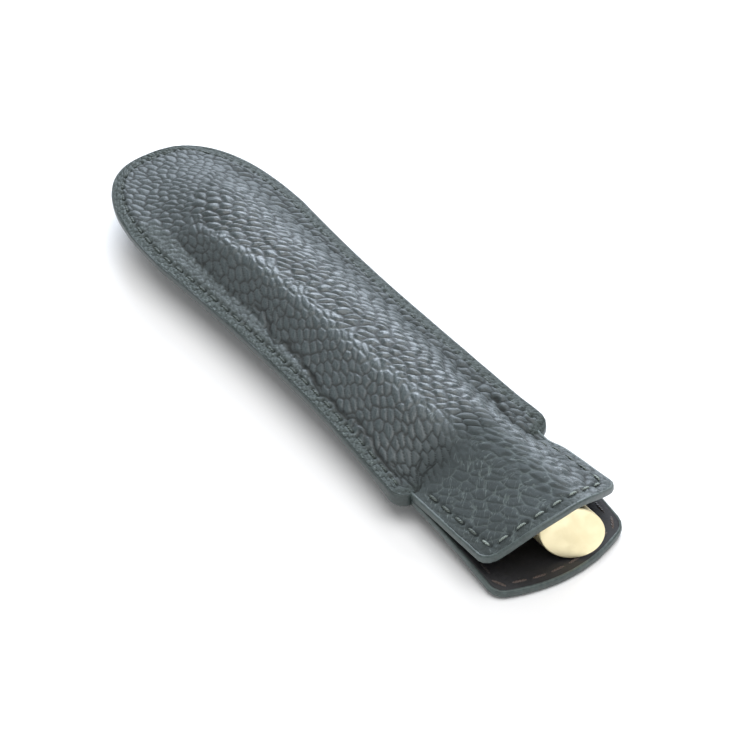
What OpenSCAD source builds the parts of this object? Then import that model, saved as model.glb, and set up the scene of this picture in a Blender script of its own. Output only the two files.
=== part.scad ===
// Pen sleeve in lined pebbled leather, lying on its back with a capped pen inside.
// X runs along the sleeve with its mouth at +X, Y runs across it and Z is up.
// The origin is on the surface that it lies on, under the middle of its length.

/* [Sleeve outline] */
// Length from the closed end to the middle of the back flap
sleeve_length = 162; // [158:1:172]
// Width across the two side seams
body_width = 40; // [39:0.5:44]
// Length of the rounded closed end
nose_length = 37; // [28:1:40]
// Squareness of the rounded closed end, where 2 is an ellipse
nose_squareness = 2.5; // [2:0.1:3]
// Width of the seam band along each side, and the step in at each shoulder
seam_band = 3.3; // [2.8:0.1:3.6]
// How far each side is drawn in halfway along, where the panels wrap the pen
waist_draw = 1.8; // [0:0.1:2.2]

/* [Flaps] */
// Length of the back flap from the shoulders to its corners
back_flap_length = 28; // [24:1:32]
// How far the front flap stops short of the back flap
front_setback = 3.4; // [1:0.2:5]
// How far the mouth edges bow out at the middle
mouth_bow = 4; // [1:0.5:6]
// Corner radius of both flaps
flap_corner = 2; // [1.5:0.5:4]
// Height of the front flap's left corner at its lining
front_corner_height = 7; // [6.4:0.2:9]
// How much higher the front flap's right corner stands
right_corner_lift = 2.2; // [0:0.2:3]
// Height of the back flap's corners at its lining
back_corner_height = 2.2; // [2.1:0.1:4]
// How far the back flap's lip turns up at its mouth edge
lip_lift = 0.3; // [0.3:0.05:0.4]
// Length of the back flap's lip that turns up
lip_length = 9; // [7:1:12]

/* [Leather] */
// Thickness of the pebbled outer leather
leather_thickness = 1; // [0.8:0.1:1.3]
// Thickness of the smooth lining
lining_thickness = 0.6; // [0.4:0.1:0.8]
// How far the edge paint stands out from the cut edge
paint_thickness = 0.45; // [0.3:0.05:0.6]

/* [Lie of the sleeve] */
// Height of the seam plane halfway along
seam_height = 9; // [8:0.2:9.6]
// How far the seam plane rises towards the closed end
end_lift = 1.2; // [0:0.2:3]
// How far the seam plane drops towards the shoulders
shoulder_drop = 2.6; // [1:0.2:3]
// Half width of the flat belly that the sleeve rests on
belly_half_width = 5.5; // [4:0.5:7]
// How far the closed end stays flat before the panels part
nose_flat = 1.5; // [1:0.5:4]

/* [Stitching] */
// Distance between stitches
stitch_pitch = 4.4; // [3.6:0.2:5.4]
// Length of thread that shows in each stitch
stitch_length = 2.6; // [2:0.2:3]
// Width of the thread
thread_width = 0.6; // [0.4:0.1:0.8]
// How high the thread stands on the front of the sleeve
thread_height = 0.35; // [0.2:0.05:0.4]
// How high the pressed thread stands on the linings and under the sleeve
pressed_thread_height = 0.15; // [0.1:0.01:0.15]
// Distance of the stitches from the edge
stitch_inset = 2.2; // [1.8:0.1:2.4]

/* [Pen] */
// Diameter of the cap and of the barrel beside it
pen_diameter = 12; // [11:0.2:12.6]
// Room in the pocket between the closed end and the pen's tail
tail_room = 23; // [20:0.5:28]
// Clearance between the pen and the front lining
pen_clearance = 0.5; // [0.45:0.05:0.8]
// Clearance under the pen, which rests on the back flap's stitched lip
pen_rest_gap = 0.6; // [0.6:0.05:1]
// How far the pen lies off the sleeve's middle
pen_offset = 2.4; // [0:0.2:3]
// How far the pen's tip stays behind the middle of the back flap
pen_inset = 0; // [0:0.2:3]
// Angle of the slanted end of the cap
crown_slant = 29; // [10:1:35]
// How far the pen is rolled, which turns the slanted end upwards
crown_roll = 23; // [0:1:45]
// Length of the crown's short side
crown_short_side = 2.5; // [1.5:0.5:5]
// Length of the cap's tube
cap_tube_length = 58; // [52:1:62]
// Wall of the cap's tube
cap_wall = 1; // [0.8:0.1:1.2]
// Diameter of the barrel at its tail
tail_diameter = 9.2; // [8.6:0.2:10]
// Diameter of the barrel's bore
barrel_bore = 7.8; // [7.4:0.1:8]
// Length of the rounded tail plug
tail_plug_length = 2; // [1.5:0.5:3]
// Length of the trim ring between barrel and cap
trim_ring_length = 2; // [1:0.5:4]
// Length of the grip section in front of the trim ring
grip_length = 36; // [32:1:38]
// Diameter of the grip at its front end
grip_front_diameter = 6.8; // [6.4:0.2:7.6]
// Diameter of the refill's body
refill_diameter = 6; // [5.6:0.1:6.2]
// Room for the spring between the tail plug and the refill
spring_room = 2.8; // [2.6:0.1:3.4]
// Diameter of the refill's metal nose
refill_nose_diameter = 2.4; // [2:0.1:2.8]
// Wire diameter of the refill's spring
spring_wire = 0.5; // [0.4:0.1:0.7]
// Turns of the refill's spring
spring_turns = 4; // [3:1:5]
// Gap between pressed or sliding round parts
fit_gap = 0.05; // [0.02:0.01:0.1]

/* [Hidden] */

$fa = 6;
$fs = 0.2;

leather_green = [0.35, 0.4, 0.385];
lining_black = [0.13, 0.13, 0.14];
paint_grey = [0.4, 0.47, 0.45];
thread_light = [0.55, 0.58, 0.55];
thread_brown = [0.36, 0.27, 0.22];
brass = [0.86, 0.74, 0.45];
plastic_black = [0.08, 0.08, 0.09];
steel = [0.72, 0.73, 0.74];

half_length = sleeve_length / 2;
half_width = body_width / 2;
flap_half_width = half_width - seam_band;
wall = leather_thickness + lining_thickness;
nose_x = -half_length + nose_length;
back_corner_x = half_length - mouth_bow;
front_corner_x = back_corner_x - front_setback;
shoulder_x = back_corner_x - back_flap_length;
shoulder_start_x = shoulder_x - seam_band;
shoulder_seam_z = seam_height - shoulder_drop;

pen_radius = pen_diameter / 2;
pen_tip_x = half_length - pen_inset;
pen_tail_x = -half_length + tail_room;
pen_axis_z = wall + pen_rest_gap + pen_radius;
pocket_top_z = pen_axis_z + pen_radius + pen_clearance;

// Where the two panels have parted to their full height, past the pen's tail
front_fade_room = 10;
back_fade_room = 3;
fade_start_x = -half_length + nose_flat;
front_fade_x = pen_tail_x + front_fade_room;
back_fade_x = pen_tail_x + back_fade_room;

// The outline starts with a short straight edge at the tip of the closed end
nose_tip_half_width = 1.2;
nose_angles = [0, 6, 12, 20, 29, 38, 47, 56, 65, 74, 82];
body_steps = 11;
shoulder_steps = 4;
corner_steps = 4;
flap_steps = 6;
pocket_columns = 12;

// Shape of the flaps: how open the front arch is at the mouth, and how late each side curls
flap_edge_share = 0.66;
front_curl = 1.15;
back_curl = 1.75;

function clamp01(t) = max(0, min(1, t));
function ease(t) = let (u = clamp01(t)) u * u * (3 - 2 * u);
function unit(v) = v / norm(v);
function flatten(rows) = [for (row = rows) for (item = row) item];
function reverse(list) = [for (i = [len(list) - 1:-1:0]) list[i]];

// Half width of the outline at a station of the body, from the closed end to the shoulder
function body_half_width(x) =
    x < nose_x
        ? max(nose_tip_half_width,
            half_width * pow(1 - pow(clamp01((nose_x - x) / nose_length), nose_squareness),
            1 / nose_squareness))
        : x < shoulder_start_x
            ? half_width - waist_draw * (1 - pow(2 * (x - nose_x) / (shoulder_start_x - nose_x) - 1, 2))
            : flap_half_width + sqrt(max(0, pow(seam_band, 2) - pow(x - shoulder_start_x, 2)));

// Half width of a flap at a station, with its corner rounded off
function flap_outline(x, corner_x) =
    x <= corner_x - flap_corner
        ? flap_half_width
        : flap_half_width - flap_corner
            + sqrt(max(0, pow(flap_corner, 2) - pow(x - corner_x + flap_corner, 2)));

body_stations = concat(
    [for (a = nose_angles) -half_length + nose_length * (1 - cos(a))],
    [for (i = [0:body_steps - 1]) nose_x + (shoulder_start_x - nose_x) * i / body_steps],
    [for (i = [0:shoulder_steps]) shoulder_start_x + seam_band * sin(90 * i / shoulder_steps)]);

function flap_stations(corner_x) = let (start = shoulder_x + paint_thickness,
        straight = corner_x - flap_corner - start) concat(
    [for (i = [0:flap_steps - 1]) start + straight * i / flap_steps],
    [for (i = [0:corner_steps]) corner_x - flap_corner + flap_corner * sin(90 * i / corner_steps)]);

function is_flap(x) = x > shoulder_x;
function row_half_width(x, corner_x) = is_flap(x) ? flap_outline(x, corner_x) : body_half_width(x);

// Share of the way from the shoulder to the flap's corners
function flap_share(x, corner_x) = clamp01((x - shoulder_x) / (corner_x - shoulder_x));

// Height of the plane where the two linings meet in the seams
function seam_z(x) = seam_height
    + end_lift * pow(min(0, x) / half_length, 2)
    - shoulder_drop * pow(clamp01(x / shoulder_x), 2);

// Half width of the pocket, between the two seam bands
function pocket_half_width(x) = let (w = body_half_width(min(x, shoulder_start_x)))
    is_flap(x) ? flap_half_width : max(w - seam_band, w / 2);

// How far a point lies from the pen towards the pocket's side, from 0 to 1
function side_share(x, y) = let (w = pocket_half_width(x))
    clamp01(y > pen_offset ? (y - pen_offset) / (w - pen_offset) : (pen_offset - y) / (w + pen_offset));

// Arch over the pen, 1 at the top and 0 at the side, flat there when k is 1
function arch(s, k) = (cos(180 * s * k) - cos(180 * k)) / (1 - cos(180 * k));
function arch_openness(x, corner_x) = 1 - (1 - flap_edge_share) * flap_share(x, corner_x);

// Inner face of the front lining
function front_inner(x, y) = let (
        u = flap_share(x, front_corner_x),
        corner_z = front_corner_height + right_corner_lift * ease(y / flap_half_width),
        side = is_flap(x) ? shoulder_seam_z + (corner_z - shoulder_seam_z) * pow(u, front_curl)
            : seam_z(x),
        rise = (pocket_top_z - side) * ease((x - fade_start_x) / (front_fade_x - fade_start_x)))
    side + rise * arch(side_share(x, y), arch_openness(x, front_corner_x));

// Inner face of the back lining, flat under the pen and turned up at the lip
function lip_rise(x) = lip_lift * ease((x - back_corner_x + lip_length) / lip_length);
function back_inner(x, y) = let (
        u = flap_share(x, back_corner_x),
        side = is_flap(x)
            ? shoulder_seam_z + (back_corner_height - shoulder_seam_z) * pow(u, back_curl)
            : seam_z(x),
        drop = (side - wall - lip_rise(x)) * ease((x - fade_start_x) / (back_fade_x - fade_start_x)),
        flat_share = belly_half_width / (pocket_half_width(x) + pen_offset),
        s = max(0, side_share(x, y) - flat_share) / (1 - flat_share))
    side - drop * arch(s, 1);

// Height of a face that lies a given thickness outside a lining's inner face
slope_step = 0.1;
function cross_slope(x, y, front) = front
    ? (front_inner(x, y + slope_step) - front_inner(x, y - slope_step)) / (2 * slope_step)
    : (back_inner(x, y + slope_step) - back_inner(x, y - slope_step)) / (2 * slope_step);
function face_z(x, y, depth, front) = let (k = sqrt(1 + pow(cross_slope(x, y, front), 2)))
    front ? front_inner(x, y) + depth * k : back_inner(x, y) - depth * k;

function corner_of(front) = front ? front_corner_x : back_corner_x;

// Places across a row: one column for each seam band and even ones between them
flap_band = 1.6;
function band_at(x, w) = min(w / 2, seam_band - (seam_band - flap_band)
    * clamp01((x - shoulder_start_x) / seam_band));
function row_places(w, band) = let (inner = w - band) concat([-w],
    [for (j = [0:pocket_columns]) inner * (2 * j / pocket_columns - 1)], [w]);

// A point of the outline or of a row, where the flaps' rows bow towards the mouth
function bowed_x(x, y, corner_x) =
    x + mouth_bow * (1 - pow(y / flap_half_width, 2)) * flap_share(x, corner_x);

function stations(front) = concat(body_stations, flap_stations(corner_of(front)));

// Grid of points of one face of one panel or lining
function face_grid(depth, front) = let (corner_x = corner_of(front))
    [for (x = stations(front)) let (w = row_half_width(x, corner_x))
        [for (y = row_places(w, band_at(x, w)))
            [bowed_x(x, y, corner_x), y, face_z(x, y, depth, front)]]];

// A closed skin between an upper and a lower grid of points
module skin(upper, lower) {
    n = len(upper);
    m = len(upper[0]);
    base = n * m;
    function at(i, j) = i * m + j;
    top_faces = [for (i = [0:n - 2]) for (j = [0:m - 2])
        each [[at(i, j), at(i, j + 1), at(i + 1, j + 1)],
            [at(i, j), at(i + 1, j + 1), at(i + 1, j)]]];
    low_faces = [for (f = top_faces) [f[2] + base, f[1] + base, f[0] + base]];
    rim = concat([for (i = [0:n - 1]) at(i, 0)], [for (j = [1:m - 1]) at(n - 1, j)],
        [for (i = [n - 2:-1:0]) at(i, m - 1)], [for (j = [m - 2:-1:1]) at(0, j)]);
    rim_faces = [for (k = [0:len(rim) - 1]) let (a = rim[k], b = rim[(k + 1) % len(rim)])
        each [[a, b, b + base], [a, b + base, a + base]]];
    polyhedron(points = concat(flatten(upper), flatten(lower)),
        faces = concat(top_faces, low_faces, rim_faces));
}

// A closed tube through rings of points
module ring_skin(rings) {
    n = len(rings);
    m = len(rings[0]);
    function at(i, j) = i * m + (j % m);
    side_faces = [for (i = [0:n - 2]) for (j = [0:m - 1])
        each [[at(i, j), at(i, j + 1), at(i + 1, j + 1)],
            [at(i, j), at(i + 1, j + 1), at(i + 1, j)]]];
    start_cap = [for (j = [1:m - 2]) [at(0, 0), at(0, j + 1), at(0, j)]];
    end_cap = [for (j = [1:m - 2]) [at(n - 1, 0), at(n - 1, j), at(n - 1, j + 1)]];
    polyhedron(points = flatten(rings), faces = concat(side_faces, start_cap, end_cap));
}

// Outline of the body from the left shoulder round the closed end to the right one
body_edge = concat([for (x = reverse(body_stations)) [x, -body_half_width(x)]],
    [for (x = body_stations) [x, body_half_width(x)]]);

// Outline of one flap from its left shoulder round the mouth to its right one
function flap_edge(front) = let (corner_x = corner_of(front), xs = flap_stations(corner_x),
        last = xs[len(xs) - 1], w = row_half_width(last, corner_x),
        places = row_places(w, band_at(last, w)))
    concat([for (i = [0:len(xs) - 2]) [xs[i], -row_half_width(xs[i], corner_x)]],
        [for (y = places) [last, y]],
        [for (i = [len(xs) - 2:-1:0]) [xs[i], row_half_width(xs[i], corner_x)]]);

// Outward direction at each point of an open outline, turned from its run
function turned(v, side) = side * [v[1], -v[0]];
function edge_normals(edge, side) = let (last = len(edge) - 1)
    [for (i = [0:last]) unit(turned(edge[min(last, i + 1)] - edge[max(0, i - 1)], side))];

// A rounded bead of edge paint along an outline, between two faces
paint_shoulder = 0.75;
module edge_bead(plan, side, top, bottom) {
    normals = edge_normals(plan, side);
    rings = [for (i = [0:len(plan) - 1]) let (
            p = plan[i], n = normals[i], hi = top[i], lo = bottom[i],
            inset = (hi - lo) / 5,
            edge = p + n * paint_thickness,
            near_edge = p + n * paint_thickness * paint_shoulder)
        [[p[0], p[1], hi], [near_edge[0], near_edge[1], hi - inset / 2],
            [edge[0], edge[1], hi - 2 * inset], [edge[0], edge[1], lo + 2 * inset],
            [near_edge[0], near_edge[1], lo + inset / 2], [p[0], p[1], lo]]];
    ring_skin(side > 0 ? rings : reverse(rings));
}

module flap_bead(front) {
    corner_x = corner_of(front);
    edge = flap_edge(front);
    plan = [for (p = edge) [bowed_x(p[0], p[1], corner_x), p[1]]];
    outer = [for (p = edge) face_z(p[0], p[1], wall, front)];
    inner = [for (p = edge) face_z(p[0], p[1], 0, front)];
    edge_bead(plan, 1, front ? outer : inner, front ? inner : outer);
}

// Running length along a line of points
function run_lengths(points, i = 0, sum = 0) = i >= len(points) ? []
    : let (here = sum + (i == 0 ? 0 : norm(points[i] - points[i - 1])))
        concat([here], run_lengths(points, i + 1, here));
function along(points, lengths, s) = [for (axis = [0:2])
    lookup(s, [for (i = [0:len(points) - 1]) [lengths[i], points[i][axis]]])];

// One stitch: a flat thread with round ends, standing on z = 0
module stitch(height) {
    straight = stitch_length - thread_width;
    linear_extrude(height) {
        square([straight, thread_width], center = true);
        for (side = [-1, 1]) {
            translate([side * straight / 2, 0]) circle(d = thread_width);
        }
    }
}

// Stitches at an even pitch along a line, standing off a face with the given normals
module stitch_row(points, normals, height, seat_gap) {
    lengths = run_lengths(points);
    total = lengths[len(lengths) - 1];
    count = floor((total - stitch_length) / stitch_pitch) + 1;
    start = (total - (count - 1) * stitch_pitch - stitch_length) / 2;
    for (k = [0:count - 1]) {
        s = start + k * stitch_pitch;
        run = unit(along(points, lengths, s + stitch_length) - along(points, lengths, s));
        up = along(normals, lengths, s + stitch_length / 2);
        across = unit(cross(up, run));
        rise = cross(run, across);
        tilt = clamp01(norm([up[0], up[1]]) / full_gap_tilt);
        gap = flat_seat_gap + (seat_gap - flat_seat_gap) * tilt;
        foot = along(points, lengths, s + stitch_length / 2) + rise * gap;
        multmatrix([[run[0], across[0], rise[0], foot[0]],
            [run[1], across[1], rise[1], foot[1]],
            [run[2], across[2], rise[2], foot[2]]]) stitch(height);
    }
}

// Normal of a panel's outer face, or of a lining's inner face, away from the material
function face_normal(x, y, depth, front, outward) = let (
        dx = (face_z(x + slope_step, y, depth, front) - face_z(x - slope_step, y, depth, front))
            / (2 * slope_step),
        dy = (face_z(x, y + slope_step, depth, front) - face_z(x, y - slope_step, depth, front))
            / (2 * slope_step))
    (front == outward ? 1 : -1) * unit([-dx, -dy, 1]);

// How far a stitch's foot stands off the middle of its seat, flat or curved
flat_seat_gap = 0.06;
outer_seat_gap = 0.12;
inner_seat_gap = 0.2;
full_gap_tilt = 0.12;

// Stitches of the side seam, which runs round the closed end, on one outer face
module seam_stitches(front) {
    normals = edge_normals(body_edge, -1);
    line = [for (i = [0:len(body_edge) - 1]) body_edge[i] - normals[i] * stitch_inset];
    kept = [for (i = [shoulder_steps:len(line) - 1 - shoulder_steps]) line[i]];
    stitch_row([for (p = kept) [p[0], p[1], face_z(p[0], p[1], wall, front)]],
        [for (p = kept) face_normal(p[0], p[1], wall, front, true)],
        front ? thread_height : pressed_thread_height, outer_seat_gap);
}

// Stitches round a flap's free edge, on its outer face or on its lining
stitch_turn = 0.5;
side_points = 5;
function flap_stitch_line(front) = let (corner_x = corner_of(front), x0 = shoulder_x + stitch_inset,
        row_x = corner_x - stitch_inset, x1 = row_x - stitch_turn,
        y = flap_half_width - stitch_inset, y1 = y - stitch_turn,
        side = [for (i = [0:side_points]) x0 + (x1 - x0) * i / side_points])
    concat([for (x = side) [x, -y]],
        [[row_x, -y1]],
        [for (place = row_places(flap_half_width, flap_band)) if (abs(place) < y1) [row_x, place]],
        [[row_x, y1]],
        [for (x = reverse(side)) [x, y]]);

module flap_stitches(front, outward) {
    line = flap_stitch_line(front);
    corner_x = corner_of(front);
    depth = outward ? wall : 0;
    stitch_row([for (p = line) [bowed_x(p[0], p[1], corner_x), p[1],
            face_z(p[0], p[1], depth, front)]],
        [for (p = line) face_normal(p[0], p[1], depth, front, outward)],
        front && outward ? thread_height : pressed_thread_height,
        outward ? outer_seat_gap : inner_seat_gap);
}

module front_panel() {
    color(leather_green) skin(face_grid(wall, true), face_grid(lining_thickness, true));
}
module front_lining() {
    color(lining_black) skin(face_grid(lining_thickness, true), face_grid(0, true));
}
module back_lining() {
    color(lining_black) skin(face_grid(0, false), face_grid(lining_thickness, false));
}
module back_panel() {
    color(leather_green) skin(face_grid(lining_thickness, false), face_grid(wall, false));
}
module seam_edge_paint() {
    color(paint_grey) edge_bead(body_edge, -1,
        [for (p = body_edge) face_z(p[0], p[1], wall, true)],
        [for (p = body_edge) face_z(p[0], p[1], wall, false)]);
}
module front_flap_edge_paint() {
    color(paint_grey) flap_bead(true);
}
module back_flap_edge_paint() {
    color(paint_grey) flap_bead(false);
}
module seam_thread_top() {
    color(thread_light) seam_stitches(true);
}
module seam_thread_under() {
    color(thread_light) seam_stitches(false);
}
module front_flap_thread() {
    color(thread_light) flap_stitches(true, true);
}
module front_flap_thread_inside() {
    color(thread_brown) flap_stitches(true, false);
}
module back_flap_thread_under() {
    color(thread_light) flap_stitches(false, true);
}
module back_flap_thread_inside() {
    color(thread_brown) flap_stitches(false, false);
}

// The pen's own places along X
crown_slant_depth = pen_diameter * tan(crown_slant);
crown_base_x = pen_tip_x - crown_slant_depth - crown_short_side;
cap_mouth_x = crown_base_x - cap_tube_length;
cap_bore_radius = pen_radius - cap_wall;
crown_spigot_length = 6;
lip_gap = 0.05;
ring_x = cap_mouth_x - lip_gap - trim_ring_length;
barrel_bore_radius = barrel_bore / 2;
tail_radius = tail_diameter / 2;
tail_base_x = pen_tail_x + tail_plug_length;
grip_start_x = ring_x + trim_ring_length;
grip_end_x = grip_start_x + grip_length;
liner_wall = 0.45;
liner_length = 40;
liner_start_gap = 1.5;
grip_collar_radius = cap_bore_radius - liner_wall - 2 * fit_gap;
grip_collar_length = 8;
grip_spigot_length = 10;
grip_spigot_radius = barrel_bore_radius - fit_gap;
refill_radius = refill_diameter / 2;
refill_nose_radius = refill_nose_diameter / 2;
nose_reach = 3;
refill_front_x = grip_end_x + nose_reach;
refill_back_x = tail_base_x + spring_room;
refill_nose_length = 12;
refill_shoulder_x = refill_front_x - refill_nose_length;
tail_socket_wall = 0.7;
tail_socket_length = 3;
spring_end_gap = 0.1;
spring_radius = barrel_bore_radius - fit_gap - tail_socket_wall - spring_wire;

// A turned part on the pen's axis, from a profile of points given as (along, radius)
module turned_part(profile) {
    translate([0, pen_offset, pen_axis_z]) rotate([0, 90, 0])
        rotate_extrude() polygon([for (p = profile) [p[1], p[0]]]);
}

tail_rounding = 1.2;
module pen_barrel() {
    color(brass) turned_part([[tail_base_x, barrel_bore_radius], [tail_base_x, tail_radius],
        [ring_x, pen_radius], [ring_x, barrel_bore_radius]]);
}
module barrel_tail() {
    socket_radius = barrel_bore_radius - fit_gap;
    color(brass) turned_part(concat(
        [[pen_tail_x, 0]],
        [for (a = [90:-15:0]) [pen_tail_x + tail_rounding * (1 - sin(a)),
            tail_radius - tail_rounding * (1 - cos(a))]],
        [[tail_base_x, tail_radius], [tail_base_x, socket_radius],
            [tail_base_x + tail_socket_length, socket_radius],
            [tail_base_x + tail_socket_length, socket_radius - tail_socket_wall],
            [tail_base_x, socket_radius - tail_socket_wall], [tail_base_x, 0]]));
}
module barrel_ring() {
    color(brass) turned_part([[ring_x, barrel_bore_radius], [ring_x, pen_radius],
        [grip_start_x, pen_radius], [grip_start_x, barrel_bore_radius]]);
}
module grip_section() {
    refill_bore = refill_radius + fit_gap;
    nose_bore = refill_nose_radius + fit_gap;
    color(plastic_black) turned_part([
        [ring_x - grip_spigot_length, refill_bore], [ring_x - grip_spigot_length, grip_spigot_radius],
        [grip_start_x, grip_spigot_radius], [grip_start_x, grip_collar_radius],
        [grip_start_x + grip_collar_length, grip_collar_radius],
        [grip_end_x, grip_front_diameter / 2], [grip_end_x, nose_bore],
        [refill_shoulder_x + fit_gap, nose_bore], [refill_shoulder_x + fit_gap, refill_bore]]);
}
module refill_tube() {
    color(steel) turned_part([[refill_back_x, 0], [refill_back_x, refill_radius],
        [refill_shoulder_x, refill_radius], [refill_shoulder_x, 0]]);
}
writing_cone_length = 2.4;
ball_radius = 0.35;
module refill_tip() {
    color(steel) turned_part([[refill_shoulder_x, 0], [refill_shoulder_x, refill_nose_radius],
        [refill_front_x - writing_cone_length, refill_nose_radius], [refill_front_x, ball_radius],
        [refill_front_x, 0]]);
}

// Spring between the tail plug and the refill, one wire wound at an even pitch
spring_ring_steps = 12;
spring_sides = 6;
module refill_spring() {
    start_x = tail_base_x + spring_end_gap + spring_wire / 2;
    end_x = refill_back_x - spring_end_gap - spring_wire / 2;
    steps = spring_turns * spring_ring_steps;
    rings = [for (i = [0:steps]) let (turn = 360 * i / spring_ring_steps,
            x = start_x + (end_x - start_x) * i / steps)
        [for (j = [0:spring_sides - 1]) let (a = -360 * j / spring_sides,
                r = spring_radius + spring_wire / 2 * cos(a))
            [x + spring_wire / 2 * sin(a), r * cos(turn), r * sin(turn)]]];
    color(steel) translate([0, pen_offset, pen_axis_z]) ring_skin(rings);
}
module cap_tube() {
    color(brass) turned_part([[cap_mouth_x, cap_bore_radius], [cap_mouth_x, pen_radius],
        [crown_base_x, pen_radius], [crown_base_x, cap_bore_radius]]);
}
module cap_liner() {
    start = cap_mouth_x + liner_start_gap;
    outer = cap_bore_radius - fit_gap;
    color(plastic_black) turned_part([[start, outer - liner_wall], [start, outer],
        [start + liner_length, outer], [start + liner_length, outer - liner_wall]]);
}
module cap_crown() {
    color(brass) difference() {
        turned_part([[crown_base_x - crown_spigot_length, 0],
            [crown_base_x - crown_spigot_length, cap_bore_radius - fit_gap],
            [crown_base_x, cap_bore_radius - fit_gap], [crown_base_x, pen_radius],
            [pen_tip_x, pen_radius], [pen_tip_x, 0]]);
        translate([pen_tip_x, pen_offset, pen_axis_z]) rotate([-crown_roll, 0, 0])
            translate([0, pen_radius, 0]) rotate([0, 0, -crown_slant])
            translate([0, -3 * pen_diameter, -pen_diameter]) cube(4 * pen_diameter);
    }
}

front_panel();
back_panel();
front_lining();
back_lining();
seam_edge_paint();
front_flap_edge_paint();
back_flap_edge_paint();
seam_thread_top();
seam_thread_under();
front_flap_thread();
front_flap_thread_inside();
back_flap_thread_under();
back_flap_thread_inside();
pen_barrel();
barrel_tail();
barrel_ring();
grip_section();
refill_tube();
refill_tip();
refill_spring();
cap_tube();
cap_liner();
cap_crown();
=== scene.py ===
"""Pen sleeve in lined pebbled leather with a capped pen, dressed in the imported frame."""

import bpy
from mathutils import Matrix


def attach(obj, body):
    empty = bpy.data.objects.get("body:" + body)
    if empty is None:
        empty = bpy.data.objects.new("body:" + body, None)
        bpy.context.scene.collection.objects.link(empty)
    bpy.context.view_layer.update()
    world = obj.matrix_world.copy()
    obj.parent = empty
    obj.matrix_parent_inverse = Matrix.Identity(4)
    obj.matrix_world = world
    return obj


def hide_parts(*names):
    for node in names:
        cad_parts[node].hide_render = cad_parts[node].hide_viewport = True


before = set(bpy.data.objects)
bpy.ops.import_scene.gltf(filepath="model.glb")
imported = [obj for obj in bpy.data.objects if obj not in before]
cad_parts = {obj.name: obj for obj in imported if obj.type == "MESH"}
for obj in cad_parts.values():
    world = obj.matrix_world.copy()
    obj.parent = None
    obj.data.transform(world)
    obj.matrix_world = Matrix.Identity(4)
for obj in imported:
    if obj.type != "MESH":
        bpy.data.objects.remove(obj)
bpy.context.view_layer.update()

import math
from types import SimpleNamespace

import bmesh
import bpy
import numpy as np
from bpy.props import FloatProperty, FloatVectorProperty, IntProperty, PointerProperty
from mathutils import Matrix, Vector

bl_info = {
    "name": "Pen Sleeve",
    "version": (1, 0, 0),
    "blender": (4, 5, 0),
    "location": "View3D > Sidebar > Sleeve",
    "description": "Builds a lined leather pen sleeve with the capped pen that it holds",
    "category": "Add Mesh",
}

MM = 0.001


def length(name, default, description):
    """A length of the object, given in millimetres and kept in metres."""
    return FloatProperty(name=name, description=description, default=default * MM,
                         unit="LENGTH", subtype="DISTANCE", precision=5)


def ratio(name, default, description):
    return FloatProperty(name=name, description=description, default=default)


def degrees(name, default, description):
    return FloatProperty(name=name, description=description, default=math.radians(default),
                         unit="ROTATION", subtype="ANGLE")


def colour(name, default, description):
    return FloatVectorProperty(name=name, description=description, default=default, size=3,
                               min=0.0, max=1.0, subtype="COLOR")


class SleeveSizes(bpy.types.PropertyGroup):
    """Sizes of the leather sleeve."""
    sleeve_length: length("Sleeve length", 162, "From the closed end to the back flap's middle")
    body_width: length("Body width", 40, "Across the two side seams")
    nose_length: length("Nose length", 37, "Length of the rounded closed end")
    nose_squareness: ratio("Nose squareness", 2.5, "Squareness of the closed end, 2 is an ellipse")
    seam_band: length("Seam band", 3.3, "Width of the band along each side seam")
    waist_draw: length("Waist", 1.8, "How far each side is drawn in halfway along")
    back_flap_length: length("Back flap", 28, "From the shoulders to the back flap's corners")
    front_setback: length("Front setback", 3.4, "How far the front flap stops short of the back")
    mouth_bow: length("Mouth bow", 4, "How far the mouth edges bow out")
    flap_corner: length("Flap corner", 2, "Corner radius of both flaps")
    front_corner_height: length("Front corner", 7, "Height of the front flap's left corner")
    right_corner_lift: length("Right lift", 2.2, "How much higher its right corner stands")
    back_corner_height: length("Back corner", 2.2, "Height of the back flap's corners")
    lip_lift: length("Lip lift", 0.3, "How far the back flap's lip turns up")
    lip_length: length("Lip length", 9, "Length of the lip that turns up")
    leather_thickness: length("Leather", 1, "Thickness of the outer leather")
    lining_thickness: length("Lining", 0.6, "Thickness of the lining")
    paint_thickness: length("Edge paint", 0.45, "How far the edge paint stands out")
    seam_height: length("Seam height", 9, "Height of the seam plane halfway along")
    end_lift: length("End lift", 1.2, "Rise of the seam plane at the closed end")
    shoulder_drop: length("Shoulder drop", 2.6, "Drop of the seam plane at the shoulders")
    belly_half_width: length("Belly", 5.5, "Half width of the flat belly")
    nose_flat: length("Flat end", 1.5, "Length of the closed end that stays flat")
    pebble_relief: length("Pebble relief", 0.42, "Height of the leather's pebbles")


class StitchSizes(bpy.types.PropertyGroup):
    """Sizes of the stitching."""
    pitch: length("Pitch", 4.4, "Distance between stitches")
    stitch_length: length("Length", 2.6, "Length of thread that shows in each stitch")
    width: length("Width", 0.62, "Width of the thread")
    height: length("Height", 0.46, "Height of the thread's crown over its holes")
    inset: length("Inset", 2.2, "Distance of the stitches from the edge")
    back_inset: length("Back inset", 1.7, "Distance of the back flap's stitches from its edge")


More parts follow.
